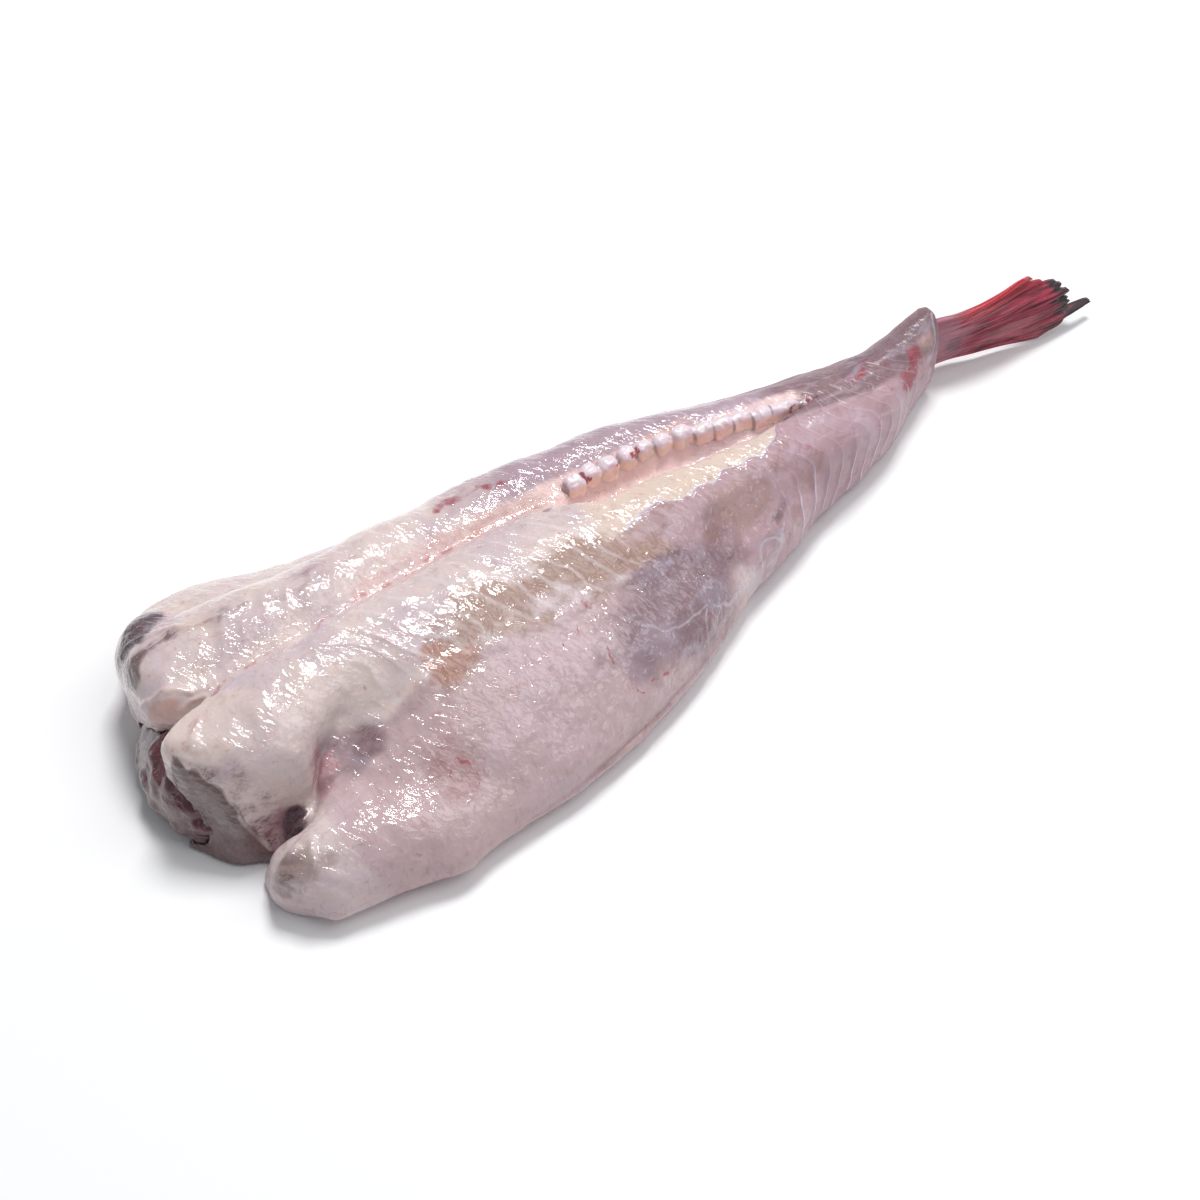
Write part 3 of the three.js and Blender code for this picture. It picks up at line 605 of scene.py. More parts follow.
class Graph:
    """One material's nodes, built by short calls. A size is in mm on the object."""

    # How far apart two seeds' noises are taken, in metres.
    SEED_STEP = (0.73, 0.31, 0.57)
    # The Mix node's colour sockets. Its other types have the same names.
    MIX_COLOURS = (6, 7)
    MIX_RESULT = 2

    def __init__(self, name):
        self.material = bpy.data.materials.new(name)
        self.material.use_nodes = True
        self.tree = self.material.node_tree
        self.shader = self.tree.nodes["Principled BSDF"]
        self.place = self.node("ShaderNodeTexCoord").outputs["Object"]

    def node(self, kind, **settings):
        made = self.tree.nodes.new(kind)
        for name, value in settings.items():
            setattr(made, name, value)
        return made

    def feed(self, socket, value):
        if isinstance(value, bpy.types.NodeSocket):
            self.tree.links.new(value, socket)
        else:
            socket.default_value = value

    def math(self, operation, *values):
        made = self.node("ShaderNodeMath", operation=operation)
        for socket, value in zip(made.inputs, values):
            self.feed(socket, value)
        return made.outputs["Value"]

    def mask(self, name):
        return self.node("ShaderNodeAttribute", attribute_name=name).outputs["Fac"]

    def noise(self, size, detail, stretch=(1, 1, 1), seed=0.0, twist=0.0, turn=(0, 0, 0)):
        """A noise from 0 to 1, stretched along each axis and turned in degrees."""
        scaled = self.node("ShaderNodeMapping", vector_type="TEXTURE")
        self.feed(scaled.inputs["Vector"], self.place)
        scaled.inputs["Scale"].default_value = [MM * size * part for part in stretch]
        scaled.inputs["Rotation"].default_value = [math.radians(angle) for angle in turn]
        scaled.inputs["Location"].default_value = [seed * step for step in self.SEED_STEP]
        made = self.node("ShaderNodeTexNoise")
        self.feed(made.inputs["Vector"], scaled.outputs["Vector"])
        made.inputs["Scale"].default_value = 1.0
        made.inputs["Detail"].default_value = detail
        made.inputs["Distortion"].default_value = twist
        return made.outputs["Fac"]

    def level(self, value, low, high, out_low=0.0, out_high=1.0):
        """Takes low..high smoothly to out_low..out_high."""
        made = self.node("ShaderNodeMapRange", interpolation_type="SMOOTHSTEP")
        for socket, given in zip(made.inputs, (value, low, high, out_low, out_high)):
            self.feed(socket, given)
        return made.outputs["Result"]

    def product(self, first, *others):
        for factor in others:
            first = self.math("MULTIPLY", first, factor)
        return first

    def over(self, under, tint, *cover):
        """A tint over another colour, by the product of the cover's parts."""
        made = self.node("ShaderNodeMix", data_type="RGBA")
        self.feed(made.inputs["Factor"], self.product(*cover))
        for number, colour in zip(self.MIX_COLOURS, (under, tint)):
            self.feed(made.inputs[number], srgb(*colour) if isinstance(colour, tuple) else colour)
        return made.outputs[self.MIX_RESULT]

    def broken(self, mask, noise, spread, low=0.15, high=0.85):
        """A mask with its edge broken up by a noise."""
        pushed = self.math("MULTIPLY_ADD", self.math("SUBTRACT", noise, 0.5), spread, mask)
        return self.level(pushed, low, high)

    def shaded(self, inputs):
        """The material, with the shader's inputs fed by name."""
        for name, value in inputs.items():
            self.feed(self.shader.inputs[name], value)
        return self.material

    def bump(self, height, depth, strength=1.0, under=None):
        made = self.node("ShaderNodeBump")
        made.inputs["Distance"].default_value = depth * MM
        made.inputs["Strength"].default_value = strength
        self.feed(made.inputs["Height"], height)
        if under is not None:
            self.feed(made.inputs["Normal"], under)
        return made.outputs["Normal"]

    def from_half(self, value):
        """How far a value is from a half."""
        return self.math("ABSOLUTE", self.math("SUBTRACT", value, 0.5))

    def from_whole(self, value):
        """How far a value is from the nearest whole number."""
        return self.from_half(self.math("FRACT", self.math("ADD", value, 0.5)))

    def thread(self, size, width, seed, twist, detail, stretch=(1, 1, 1)):
        """1 on thin winding lines, where a noise crosses its middle value."""
        away = self.from_half(self.noise(size, detail, stretch, seed, twist))
        return self.level(away, 0.0, width, 1.0, 0.0)


# ---- the flesh


def groove_side(points):
    """Distance from the groove, negative on the near side."""
    return points[:, 1] - along(GROOVE_Y, points[:, 0])


def block_phase(points):
    """Counts the blocks of muscle that show as bands across the loins."""
    back = BLOCK_LEAN * np.abs(groove_side(points))
    sway = 3.5 * noise(points, 25, 4) + 1.5 * noise(points, 9, 6)
    return (points[:, 0] - back + sway) / BLOCK_PITCH


def septum_phase(points):
    """Counts the white lines between muscle blocks: a whole number on each."""
    x, _, z = points.T
    lift = along(SEPTUM_SHAPE, z / along(LOIN_TOP, x))
    sway = 0.16 * noise(points, 22, 41) + 0.05 * noise(points, 5, 42)
    return (x - lift - SEPTUM_START) / SEPTUM_PITCH + sway


def cream_inside(points):
    """Distance in mm inside the cream strip's ragged edge."""
    x, y, _ = points.T
    edge = along(CREAM_EDGE, x) + 0.7 * noise(points, 6, 31) + 0.4 * noise(points, 2.6, 32)
    return np.minimum(y - edge, 0.8 * (CREAM_END - x))


def distance_to(points, paths, wobble, size=6):
    """Distance in mm to the nearest of the paths, which wander by about so many mm."""
    points = astray(points, wobble, size, 34)
    return np.min([path_distance(points, path) for path in paths], axis=0)


def above_rim(points):
    """Height in mm above the rim between the slab and the near loin's end."""
    rim = {y: z for _, y, z in reversed(RIM)}
    return points[:, 2] - along(rim, points[:, 1]) + 0.8 * noise(points, 6, 37)


def block_relief(points):
    """Crowned bands across the loins, and finer ones on the tail's flank."""
    x, _, z = points.T
    side = groove_side(points)
    crown = np.abs(np.sin(math.pi * block_phase(points))) ** 0.6 - 0.6
    loins = within(BLOCK_RELIEF_AT, x) * ramp(4, 12, np.abs(side)) * (1 - ramp(34, 50, -side))
    loins = loins * (0.65 + 0.5 * noise(points, 28, 7)) * ramp(20, 34, z)
    fine_crown = np.abs(np.sin(math.pi * septum_phase(points))) ** 0.55 - 0.7
    flank = within(SEPTUM_RELIEF_AT, x) * ramp(5, 10, z) * ramp(-2, 2, -side) * ramp(12, 22, -side)
    return BLOCK_HEIGHT * crown * loins + SEPTUM_HEIGHT * fine_crown * flank


def step_relief(points):
    """The cream strip's raised edge, and the seam between loin and flap."""
    x, y, _ = points.T
    inside = cream_inside(points)
    step = CREAM_STEP * ramp(-0.8, 0.8, inside) + CREAM_LIP * bump_of(inside, 1.5)
    strip = ramp(192, 204, x) * ramp(-2, 2, -groove_side(points)) * (1 - ramp(297, 306, x))
    below = along(FLAP_EDGE, x) - y
    seam = within(FLAP_SEAM_AT, x) * bump_of(below + 2 * noise(points, 14, 5), 5)
    return strip * step - SEAM_DEPTH * seam


def line_relief(points):
    """Creases and the groove's bottom sunk in, the rim and the strands standing out."""
    x, _, z = points.T
    creases = CREASE_DEPTH * bump_of(distance_to(points, CREASES, 0.8, 8), 2.6)
    rim = RIM_HEIGHT * bump_of(distance_to(points, [RIM], 0.7), 2.5)
    strands = STRAND_HEIGHT * bump_of(distance_to(points, STRANDS, 0.9), 1.3) * ramp(12, 17, z)
    middle = bump_of(groove_side(points) + 1.2 * noise(points, 16, 8), 2)
    return rim + strands - creases - GROOVE_CREASE_DEPTH * middle * within(GROOVE_CREASE_AT, x)


def flesh_relief(points):
    """How far the flesh stands out, in mm. It fades out where the fish rests."""
    lumps = sum(height * noise(points, size, seed) for size, height, seed in LUMPS)
    relief = lumps + block_relief(points) + step_relief(points) + line_relief(points)
    return relief * ramp(0.8, 5, points[:, 2])


def patch_masks(points):
    """The soft patches and bands of colour, and the slab."""
    loose = astray(points, PATCH_DRIFT, 13, 21)
    masks = {name: np.zeros(len(points)) for name, *_ in PATCHES + BANDS}
    for name, centre, radii, turn, strength in PATCHES:
        masks[name] = np.maximum(masks[name], strength * blob(loose, centre, radii, turn))
    for name, path, width, strength in BANDS:
        masks[name] = np.maximum(masks[name], strength * bump_of(path_distance(loose, path), width))
    # The slab below the rim, which the colour layers paint dark as shade on the cut face.
    slab = np.ones(len(points))
    spots = (points[:, 0], points[:, 1], points[:, 1], above_rim(points))
    for (start, end), place in zip(SLAB_REACH, spots):
        slab = slab * ramp(start, end, place)
    masks["slab"] = slab
    masks["hair"] = masks["hair"] * (1 - slab)
    masks["peach"] = np.maximum(masks["peach"], 0.7 * slab * bump_of(path_distance(points, RIM), 7))
    return masks


def trench_lip(points):
    """Distance in mm from the trench's near lip, positive outside it."""
    return along(LIP_Y, points[:, 0]) - points[:, 1] + 0.6 * noise(points, 8, 25)


def cream_mask(points):
    """1 on the cream strip, between its ragged edge and the trench's lip."""
    inside = ramp(-0.5, 0.7, cream_inside(points)) * ramp(-0.6, 0.8, trench_lip(points))
    return inside * ramp(176, 205, points[:, 0])


def line_masks(points):
    """Distances in mm from the drawn lines, pushed up where a line doesn't show."""
    x, _, z = points.T
    hidden = 5.0
    low = hidden * (z < 10)
    edge = np.abs(cream_inside(points)) + hidden * (1 - within(CREAM_LINE_AT, x))
    sway = 1.2 * noise(points, 16, 8) + 1.0 * noise(points, 6, 9)
    return {
        "white_line": edge + hidden * (trench_lip(points) < -1),
        "strand": distance_to(points, STRANDS, 0.9) + low,
        "hairline": distance_to(points, HAIRLINES, 1.2, 4) + low,
        "vessel": distance_to(points, VESSELS, 1.2, 4) + low,
        "crease": distance_to(points, CREASES, 0.8, 8),
        "rim": distance_to(points, [RIM], 0.7),
        "groove": np.abs(groove_side(points) + sway),
    }


def groove_masks(points):
    """Colours in and beside the groove and the trench."""
    x = points[:, 0]
    side = groove_side(points)
    sway = noise(points, 12, 26)
    wall = within(TRENCH_AT, x) * ramp(0.6, -0.8, trench_lip(points))
    return {
        "groove_part": within(GROOVE_THREAD_AT, x),
        "lip_film": bump_of(side + 5 + sway, 3.5) * within(LIP_FILM_AT, x),
        "floor": bump_of(side - 3 + sway, 8) * within(GROOVE_FLOOR_AT, x),
        "wall": wall * (1 - ramp(4, 10, side)),
    }


def region_masks(points, cream):
    """Where blocks and seams show, and the broad changes of colour."""
    x, y, z = points.T
    side = groove_side(points)
    near = ramp(-1, 3, -side)
    below = along(FLAP_EDGE, x) - y + 1.5 * noise(points, 14, 24)
    low = 1 - ramp(0.5, 0.85, z / along(LOIN_TOP, x))
    bare = 1 - cream
    flank = ramp(178, 215, x) * (1 - ramp(-2, 8, below)) * ramp(-7, -13, side)
    return {
        "block": block_phase(points),
        "block_part": within(BLOCK_LINES_AT, x) * near * ramp(-8, -14, side) * ramp(3, -2, below),
        "septum": septum_phase(points),
        "septum_part": within(SEPTUM_LINES_AT, x) * near * ramp(2, 6, z) * (0.25 + 0.75 * low) * bare,
        "haze": within(HAZE_AT, x) * (1 - 0.7 * low) * bare,
        "far": ramp(3, 9, side) * ramp(120, 200, x),
        "tail": ramp(262, 340, x) * bare,
        "flap": near * ramp(-3, 4, below) * within(FLAP_AT, x),
        "flank": flank * near * bare,
        "dry": np.maximum(ramp(270, 305, x), ramp(22, 12, z)),
    }


def flesh_masks(points):
    """Floats that mix the flesh's colours, 0 to 1 unless they say a distance."""
    cream = cream_mask(points)
    masks = {"cream": cream, **patch_masks(points), **line_masks(points), **groove_masks(points)}
    return {**masks, **region_masks(points, cream)}


# Layers of colour, one over the other: mask, colour, size in mm and spread of the noise that breaks up its
# edge, and how much of it shows.
FLESH_LAYERS = [
    ("far", (168, 143, 157), 20, 1.2, 0.9),
    ("tail", (114, 81, 91), 14, 1.0, 0.88),
    ("flap", (200, 174, 176), 14, 1.0, 1.0),
    ("flank", (184, 152, 161), 16, 1.2, 0.95),
    ("tan", (172, 141, 134), 9, 1.6, 0.75),
    ("ochre", (163, 131, 116), 8, 1.4, 0.9),
    ("orange", (180, 126, 106), 6, 1.9, 0.7),
    ("dusk", (112, 86, 97), 20, 1.2, 0.8),
    ("peach", (208, 170, 160), 8, 1.0, 0.85),
    ("rose", (172, 126, 134), 7, 1.4, 0.85),
    ("floor", (218, 180, 172), 7, 1.4, 0.7),
    ("wall", (234, 202, 198), 5, 0.8, 0.95),
    ("cream", (226, 204, 188), 5, 0.3, 0.9),
    ("milky", (160, 150, 168), 10, 1.8, 0.5),
    ("olive", (112, 88, 78), 8, 1.6, 0.6),
    # The slab: its greyish tissue, painted much darker as shade on the cut face.
    ("slab", (92, 68, 67), 6, 0.7, 0.92),
    ("rust", (160, 116, 118), 8, 1.8, 0.6),
    ("lip_film", (208, 194, 214), 5, 1.6, 0.7),
    ("blood", (148, 40, 60), 3.5, 1.8, 0.85),
    ("plum", (54, 30, 44), 5, 1.2, 0.95),
    ("dark", (54, 38, 42), 5, 1.5, 0.8),
]
# Lines: mask, distance in mm up to which it shows in full, and where it ends, strength and colour.
LINES = [
    ("white_line", 0.2, 0.95, 0.85, (220, 216, 230)),
    ("strand", 0.1, 0.7, 0.5, (208, 198, 208)),
    ("rim", 0.2, 1.3, 0.75, (226, 206, 202)),
    # The creases are drawn dark and reddish: painted shade in them.
    ("crease", 0.1, 1.3, 0.55, (150, 96, 98)),
    ("hairline", 0.1, 0.5, 0.6, (108, 78, 78)),
    ("vessel", 0.15, 0.6, 0.75, (168, 52, 60)),
]
# Colours of the other marks.
CLOUD = (196, 190, 206)
HAZE = (208, 192, 208)
FLANK_BROWN = (150, 112, 104)
TAIL_STREAK = (220, 204, 214)
HAIR_GROUND = (140, 106, 104)
HAIR_STROKE = (76, 56, 56)
SPECK = (128, 72, 52)
GRAIN = (158, 120, 128)
BLOCK_LINE = (236, 228, 232)
# Painted shade on one side of each fine white line, in place of a step.
SEPTUM_PAINTED_SHADE = (134, 98, 116)
SEPTUM_LINE = (216, 200, 214)
GROOVE_THREAD = (176, 62, 58)
VEIN = (178, 84, 88)
FLESH_PALE = (224, 206, 200)
FLESH_MAUVE = (208, 190, 194)
FLESH_WARM = (222, 192, 186)
FLESH_GRAIN = (192, 158, 158)


def add_clouds(g, colour):
    """Pale and mauve clouds, brown ones on the flank and whitish streaks on the tail."""
    cloud = g.level(g.noise(11, 5, (1.6, 1, 1), seed=20, twist=1.2), 0.5, 0.72, 0, 0.4)
    colour = g.over(colour, CLOUD, cloud, g.mask("dusk"))
    haze = g.level(g.noise(30, 4, (1.4, 1, 1), seed=21, twist=0.7), 0.5, 0.7, 0, 0.24)
    colour = g.over(colour, HAZE, haze)
    brown = g.level(g.noise(12, 5, seed=27, twist=0.9), 0.5, 0.7, 0, 0.5)
    colour = g.over(colour, FLANK_BROWN, brown, g.mask("flank"))
    streak = g.level(g.noise(3.5, 5, (6, 1, 1), seed=26, twist=0.5), 0.5, 0.7, 0.0, 0.28)
    return g.over(colour, TAIL_STREAK, streak, g.mask("haze"))


def add_strokes(g, colour):
    """Fine dark strokes on the hairy patches, specks at the loin's tip and the flap's grain."""
    stroke = g.level(g.noise(0.9, 2, (7, 1, 1), seed=22, twist=0.4, turn=(0, 0, 8)), 0.44, 0.6)
    patch = g.level(g.noise(7, 4, (2, 1, 1), seed=23), 0.38, 0.6)
    where = g.product(g.level(g.mask("hair"), 0.1, 0.9), patch)
    colour = g.over(colour, HAIR_GROUND, where, 0.5)
    colour = g.over(colour, HAIR_STROKE, stroke, where, 0.8)
    speck = g.level(g.noise(1.5, 1, seed=32), 0.64, 0.7)
    colour = g.over(colour, SPECK, speck, g.mask("speck"), 0.7)
    grain = g.level(g.noise(1.4, 3, (1, 9, 3), seed=33, twist=0.3), 0.5, 0.75)
    return g.over(colour, GRAIN, grain, g.mask("flap"), 0.28)


def add_septa(g, colour):
    """White seams between the muscle blocks, each fine one with painted shade on one side of it."""
    seam = g.level(g.from_whole(g.mask("block")), 0.02, 0.16, 1, 0)
    colour = g.over(colour, BLOCK_LINE, seam, g.mask("block_part"), 0.3)
    phase, part = g.mask("septum"), g.mask("septum_part")
    # Painted shade: each fine line's stretch darkens towards the line, as if the flesh stepped down there.
    shade = g.level(g.math("FRACT", phase), 0.45, 1.0, 0, 0.35)
    colour = g.over(colour, SEPTUM_PAINTED_SHADE, shade, part)
    line = g.level(g.from_whole(phase), 0.015, 0.075, 1, 0)
    gaps = g.level(g.noise(14, 3, seed=34), 0.35, 0.6, 0.4, 0.95)
    return g.over(colour, SEPTUM_LINE, line, part, gaps)


def add_lines(g, colour):
    """The drawn lines, the red threads in the groove and a few faint veins."""
    for mask, full, end, amount, tint in LINES:
        colour = g.over(colour, tint, g.level(g.mask(mask), full, end, amount, 0))
    gaps = g.level(g.noise(7, 4, seed=35), 0.48, 0.6)
    thread = g.level(g.mask("groove"), 0.2, 1.4, 0.6, 0)
    colour = g.over(colour, GROOVE_THREAD, thread, g.mask("groove_part"), gaps)
    vein = g.thread(13, 0.01, 24, 1.2, 2)
    where = g.level(g.noise(26, 2, seed=25), 0.5, 0.62)
    return g.over(colour, VEIN, vein, where, 0.4)


def flesh_colour(g, patches, fine):
    colour = g.over(FLESH_PALE, FLESH_MAUVE, g.level(patches, 0.35, 0.66))
    warm = g.level(g.noise(9, 3, seed=3, twist=0.8), 0.52, 0.74, 0, 0.35)
    colour = g.over(colour, FLESH_WARM, warm)
    for index, (mask, tint, size, spread, amount) in enumerate(FLESH_LAYERS):
        edge = g.noise(size, 4, seed=5 + index, twist=0.5)
        colour = g.over(colour, tint, g.broken(g.mask(mask), edge, spread), amount)
    for add in (add_clouds, add_strokes, add_septa, add_lines):
        colour = add(g, colour)
    return g.over(colour, FLESH_GRAIN, g.level(fine, 0.3, 0.7, 0.0, 0.14))


def flesh_material():
    """Flesh under a wet, crinkled film, the coat, which is thinner where it is dry."""
    g = Graph("flesh")
    fine = g.noise(1.3, 3, seed=1)
    patches = g.noise(24, 3, seed=2, twist=0.4)
    crinkle = g.noise(3.6, 2, (1, 3, 1), seed=30, twist=1.0, turn=(0, 0, 30))
    soft = g.bump(g.noise(9, 2, seed=31, twist=0.6), 0.8, 0.6)
    return g.shaded({
        "Base Color": flesh_colour(g, patches, fine), "Subsurface Weight": 0.25,
        "Subsurface Radius": (1.0, 0.45, 0.35), "Subsurface Scale": 0.004, "Specular IOR Level": 0.25,
        "Roughness": g.level(patches, 0.3, 0.7, 0.5, 0.62),
        "Coat Weight": g.level(g.mask("dry"), 0, 1, 1.0, 0.35), "Coat IOR": 1.6,
        "Coat Roughness": g.level(g.mask("dry"), 0, 1, 0.03, 0.2), "Normal": g.bump(fine, 0.12, 0.6, soft),
        "Coat Normal": g.bump(crinkle, 1.3, 1.0, soft),
    })


def make_flesh():
    points, quads = surface_of(flesh_field, *FLESH_GRID)
    points = raised(points, quads, flesh_relief(points))
    make_piece("tail_flesh", points, quads, flesh_material(), ["flesh"], flesh_masks(points))


# ---- the belly lining

LINING_RED = (84, 8, 22)
LINING_DULL = (92, 40, 48)
LINING_FOLD = (108, 60, 70)
LINING_EDGE = (172, 140, 146)
LINING_FOOT = (88, 58, 58)


def lining_material():
    g = Graph("lining")
    folds = g.noise(11, 3, (1, 1, 0.7), seed=1, twist=1.8)
    broad = g.noise(16, 2, seed=3, twist=0.5)
    colour = g.over(LINING_RED, LINING_DULL, g.level(broad, 0.38, 0.62))
    colour = g.over(colour, LINING_FOLD, g.level(folds, 0.5, 0.66, 0, 0.75))
    edge = g.thread(8, 0.012, 2, 1.5, 2)
    colour = g.over(colour, LINING_EDGE, edge, 0.5)
    colour = g.over(colour, LINING_FOOT, g.mask("low"), 0.7)
    return g.shaded({
        "Base Color": colour, "Roughness": g.level(folds, 0.3, 0.7, 0.25, 0.45), "Subsurface Weight": 0.2,
        "Subsurface Scale": 0.003, "Coat Weight": 1.0, "Coat Roughness": 0.08,
        "Normal": g.bump(folds, 1.6, 0.9),
    })


def lining_field(x, y, z):
    return np.maximum(cavity_field(x, y, z), -z)


def make_lining():
    points, quads = surface_of(lining_field, *LINING_GRID)
    folds = 1.4 * noise(points, (14, 9, 6), 51) + 0.4 * noise(points, 3.5, 52)
    # It folds in freely, but not out through the flesh, and not at the floor.
    points = raised(points, quads, np.minimum(folds, 0.6) * ramp(0.5, 4, points[:, 2]))
    masks = {"low": ramp(16, 6, points[:, 2])}
    make_piece("cavity_lining", points, quads, lining_material(), ["belly_lining"], masks)


# ---- the fin bases

BASES = 12
# The last, smallest ones.
CRUMBS = 4
# The first ones stand apart, with tight seams. The others run together.
BASES_APART = 7
SEAM_TIGHT = 0.9
SEAM_SOFT = 3
BASE_START = 199.0
BASE_PITCH = 9.4
CRUMB_PITCH = 6.2
CRUMB_STEP = 1
BASE_Y = {199: 3.5, 215: 5, 232: 4.5, 243: 4.6, 256: 2, 268: -0.6, 291: -5, 313: -9, 330: -10.5}
# They stand a little out of line.
BASE_SWAY = 0.5
# Half sizes of the first one, and the share that the last one has lost.
BASE_HALF = (4.9, 4.4, 7.2)
BASE_SHRINK = 0.42
CRUMB_HALF = 2.5
CRUMB_SIZE = 0.42
# Their tops lie this far below the loins' top.
BASE_TOP = 0.3
# How square they are: along the row, and across and up.
BASE_POWERS = (3, 2.6)
# Spots of blood, mostly between two of them, and their radii.
BASE_BLOOD = [(222, 2, 48), (231.5, 3, 47.5), (204, 2, 49), (299, -4, 40), (308, -8, 38), (316, -9, 38)]
BLOOD_RADII = (3.6, 4.5, 3)
GRISTLE_PALE = (250, 222, 212)
GRISTLE_PINK = (244, 208, 200)
GRISTLE_TAN = (238, 208, 186)
GRISTLE_TOP = (236, 220, 228)
SEAM_FILM = (150, 132, 142)
BASE_RED = (164, 26, 38)


def base_spot(number):
    """Centre and half sizes of one base, as in the solids."""
    crumb = number >= BASES
    behind = max(number - BASES + 1, 0)
    x = BASE_START + BASE_PITCH * min(number, BASES - 1) + CRUMB_PITCH * behind + CRUMB_STEP * crumb
    size = CRUMB_SIZE if crumb else 1 - BASE_SHRINK * number / (BASES + CRUMBS - 1)
    y = float(along(BASE_Y, x)) + BASE_SWAY * math.sin(2.3 * number)
    z = float(along(LOIN_TOP, x)) - BASE_TOP - BASE_HALF[2] * size
    half_along = CRUMB_HALF if crumb else BASE_HALF[0]
    return np.array((x, y, z)), np.array((half_along, BASE_HALF[1] * size, BASE_HALF[2] * size))


def bases_field(x, y, z):
    long, across = BASE_POWERS
    field = 1e3
    for number in range(BASES + CRUMBS):
        (cx, cy, cz), (hx, hy, hz) = base_spot(number)
        u, v, w = np.abs((x - cx) / hx), np.abs((y - cy) / hy), np.abs((z - cz) / hz)
        here = ((u**long + v**across + w**across) ** (1 / across) - 1) * min(hx, hy, hz)
        field = join(field, here, SEAM_TIGHT if number < BASES_APART else SEAM_SOFT)
    return field


def bases_material():
    g = Graph("fin_bases")
    broad = g.noise(5, 3, seed=1, twist=0.6)
    colour = g.over(GRISTLE_PALE, GRISTLE_PINK, g.level(broad, 0.35, 0.65))
    tan = g.broken(g.mask("middle"), g.noise(3, 3, seed=5), 0.8)
    colour = g.over(colour, GRISTLE_TAN, tan, 0.6)
    top = g.broken(g.mask("top"), g.noise(2.5, 3, seed=2), 1.2)
    colour = g.over(colour, GRISTLE_TOP, top)
    seam = g.level(g.mask("seam"), 0.1, 0.8, 0.8, 0)
    film = g.level(g.noise(8, 2, seed=6), 0.42, 0.6)
    colour = g.over(colour, SEAM_FILM, seam, film)
    blood = g.broken(g.mask("blood"), g.noise(1.5, 2, seed=3, twist=0.5), 1.6, 0.4, 0.8)
    colour = g.over(colour, BASE_RED, blood, 0.85)
    return g.shaded({
        "Base Color": colour, "Roughness": 0.3, "Subsurface Weight": 0.5, "Subsurface Scale": 0.004,
        "Coat Weight": 1.0, "Coat Roughness": 0.05,
        "Normal": g.bump(g.noise(2.2, 3, seed=4, twist=0.5), 0.4, 0.5),
    })


def bases_masks(points):
    """Where a point is on its base: how high, how far from the seam, and in blood."""
    spots = [base_spot(number) for number in range(BASES + CRUMBS)]
    centres = np.array([centre for centre, _ in spots])
    halves = np.array([half for _, half in spots])
    nearest = np.argmin(np.abs(points[:, :1] - centres[None, :, 0]), axis=1)
    lift = (points[:, 2] - centres[nearest, 2]) / halves[nearest, 2]
    loose = astray(points, 1.6, 3, 63)
    return {
        "top": ramp(0.25, 0.8, lift),
        "middle": bump_of(lift - 0.1, 0.5),
        "seam": halves[nearest, 0] * 0.93 - np.abs(points[:, 0] - centres[nearest, 0]),
        "blood": np.max([blob(loose, mark, BLOOD_RADII) for mark in BASE_BLOOD], axis=0),
    }


def make_bases():
    points, quads = surface_of(bases_field, *BASES_GRID)
    masks = bases_masks(points)
    points = raised(points, quads, 0.5 * noise(points, 5, 61) + 0.2 * noise(points, 1.8, 62))
    names = [f"fin_base_{number + 1:02d}" for number in range(BASES + CRUMBS)]
    make_piece("fin_bases", points, quads, bases_material(), names, masks)


# ---- the tail fin

# Points along the fin, and across each ray. Bends in the rays: height, waves over the fin, turn along it.
FIN_ALONG = 90
FIN_ACROSS_RAY = 16
FIN_BENDS = [(0.012, 13, 3), (0.006, 31, 0)]
FIN_RED = (172, 48, 74)
FIN_DARK = (112, 20, 44)
FIN_PALE_ROOT = (164, 104, 120)
FIN_CRIMSON = (196, 32, 48)
FIN_GREY = (84, 50, 70)
FIN_BLACK = (44, 30, 38)
FIN_WEB_PINK = (206, 110, 126)
# Grey bruises near the root, as centre and radii.
FIN_BRUISES = [((411, -4, 16), (8, 8, 8)), ((426, -6, 22), (6, 8, 5))]


def fin_point(u, v, side):
    """A point on the fin: u from root to tips, v from low to top, side -1 near or 1 far."""
    root_low = along(FIN_LOW_Z, BODY_LENGTH)
    root_z = root_low + (along(FIN_TOP_Z, BODY_LENGTH) - root_low) * v
    root = body_end(root_z) - FIN_SUNK
    bent = v
    for height, waves, turn in FIN_BENDS:
        bent = bent + height * np.sin(waves * v + turn * u)
    ray = np.abs(np.sin(math.pi * bent * FIN_RAYS))
    inside = ramp(0.02, 0.06, v) * ramp(1, 0.95, v)
    tip = along(FIN_TIPS, v) - FIN_NOTCH * (1 - ray) ** 1.5 * inside
    for place, half, depth in FIN_NOTCHES:
        tip = tip - depth * bump_of(v - place, half)
    x = root + (tip - root) * u
    low = along(FIN_LOW_Z, x)
    z = low + (along(FIN_TOP_Z, x) - low) * v
    low_y = along(FIN_LOW_Y, x)
    y = low_y + (along(FIN_TOP_Y, x) - low_y) * v
    free = ramp(0.1, 0.6, u) * inside
    for height, waves, start in FIN_FOLDS:
        y = y + free * height * np.sin(math.tau * waves * bent + start + u)
    fan = ramp(*FIN_FLESHY, x)
    blade = (FIN_BLADE[0] + FIN_BLADE[1] * (1 - u)) * (FIN_WEB[0] + FIN_WEB[1] * ray)
    rounding = np.maximum(1 - np.abs(2 * v - 1) ** (FIN_EDGE[0] + FIN_EDGE[1] * fan), 0) ** 0.5
    half = (blade * fan + FIN_ROOT_HALF * (1 - fan)) * rounding
    return np.stack([x, y + side * half, z], axis=-1)


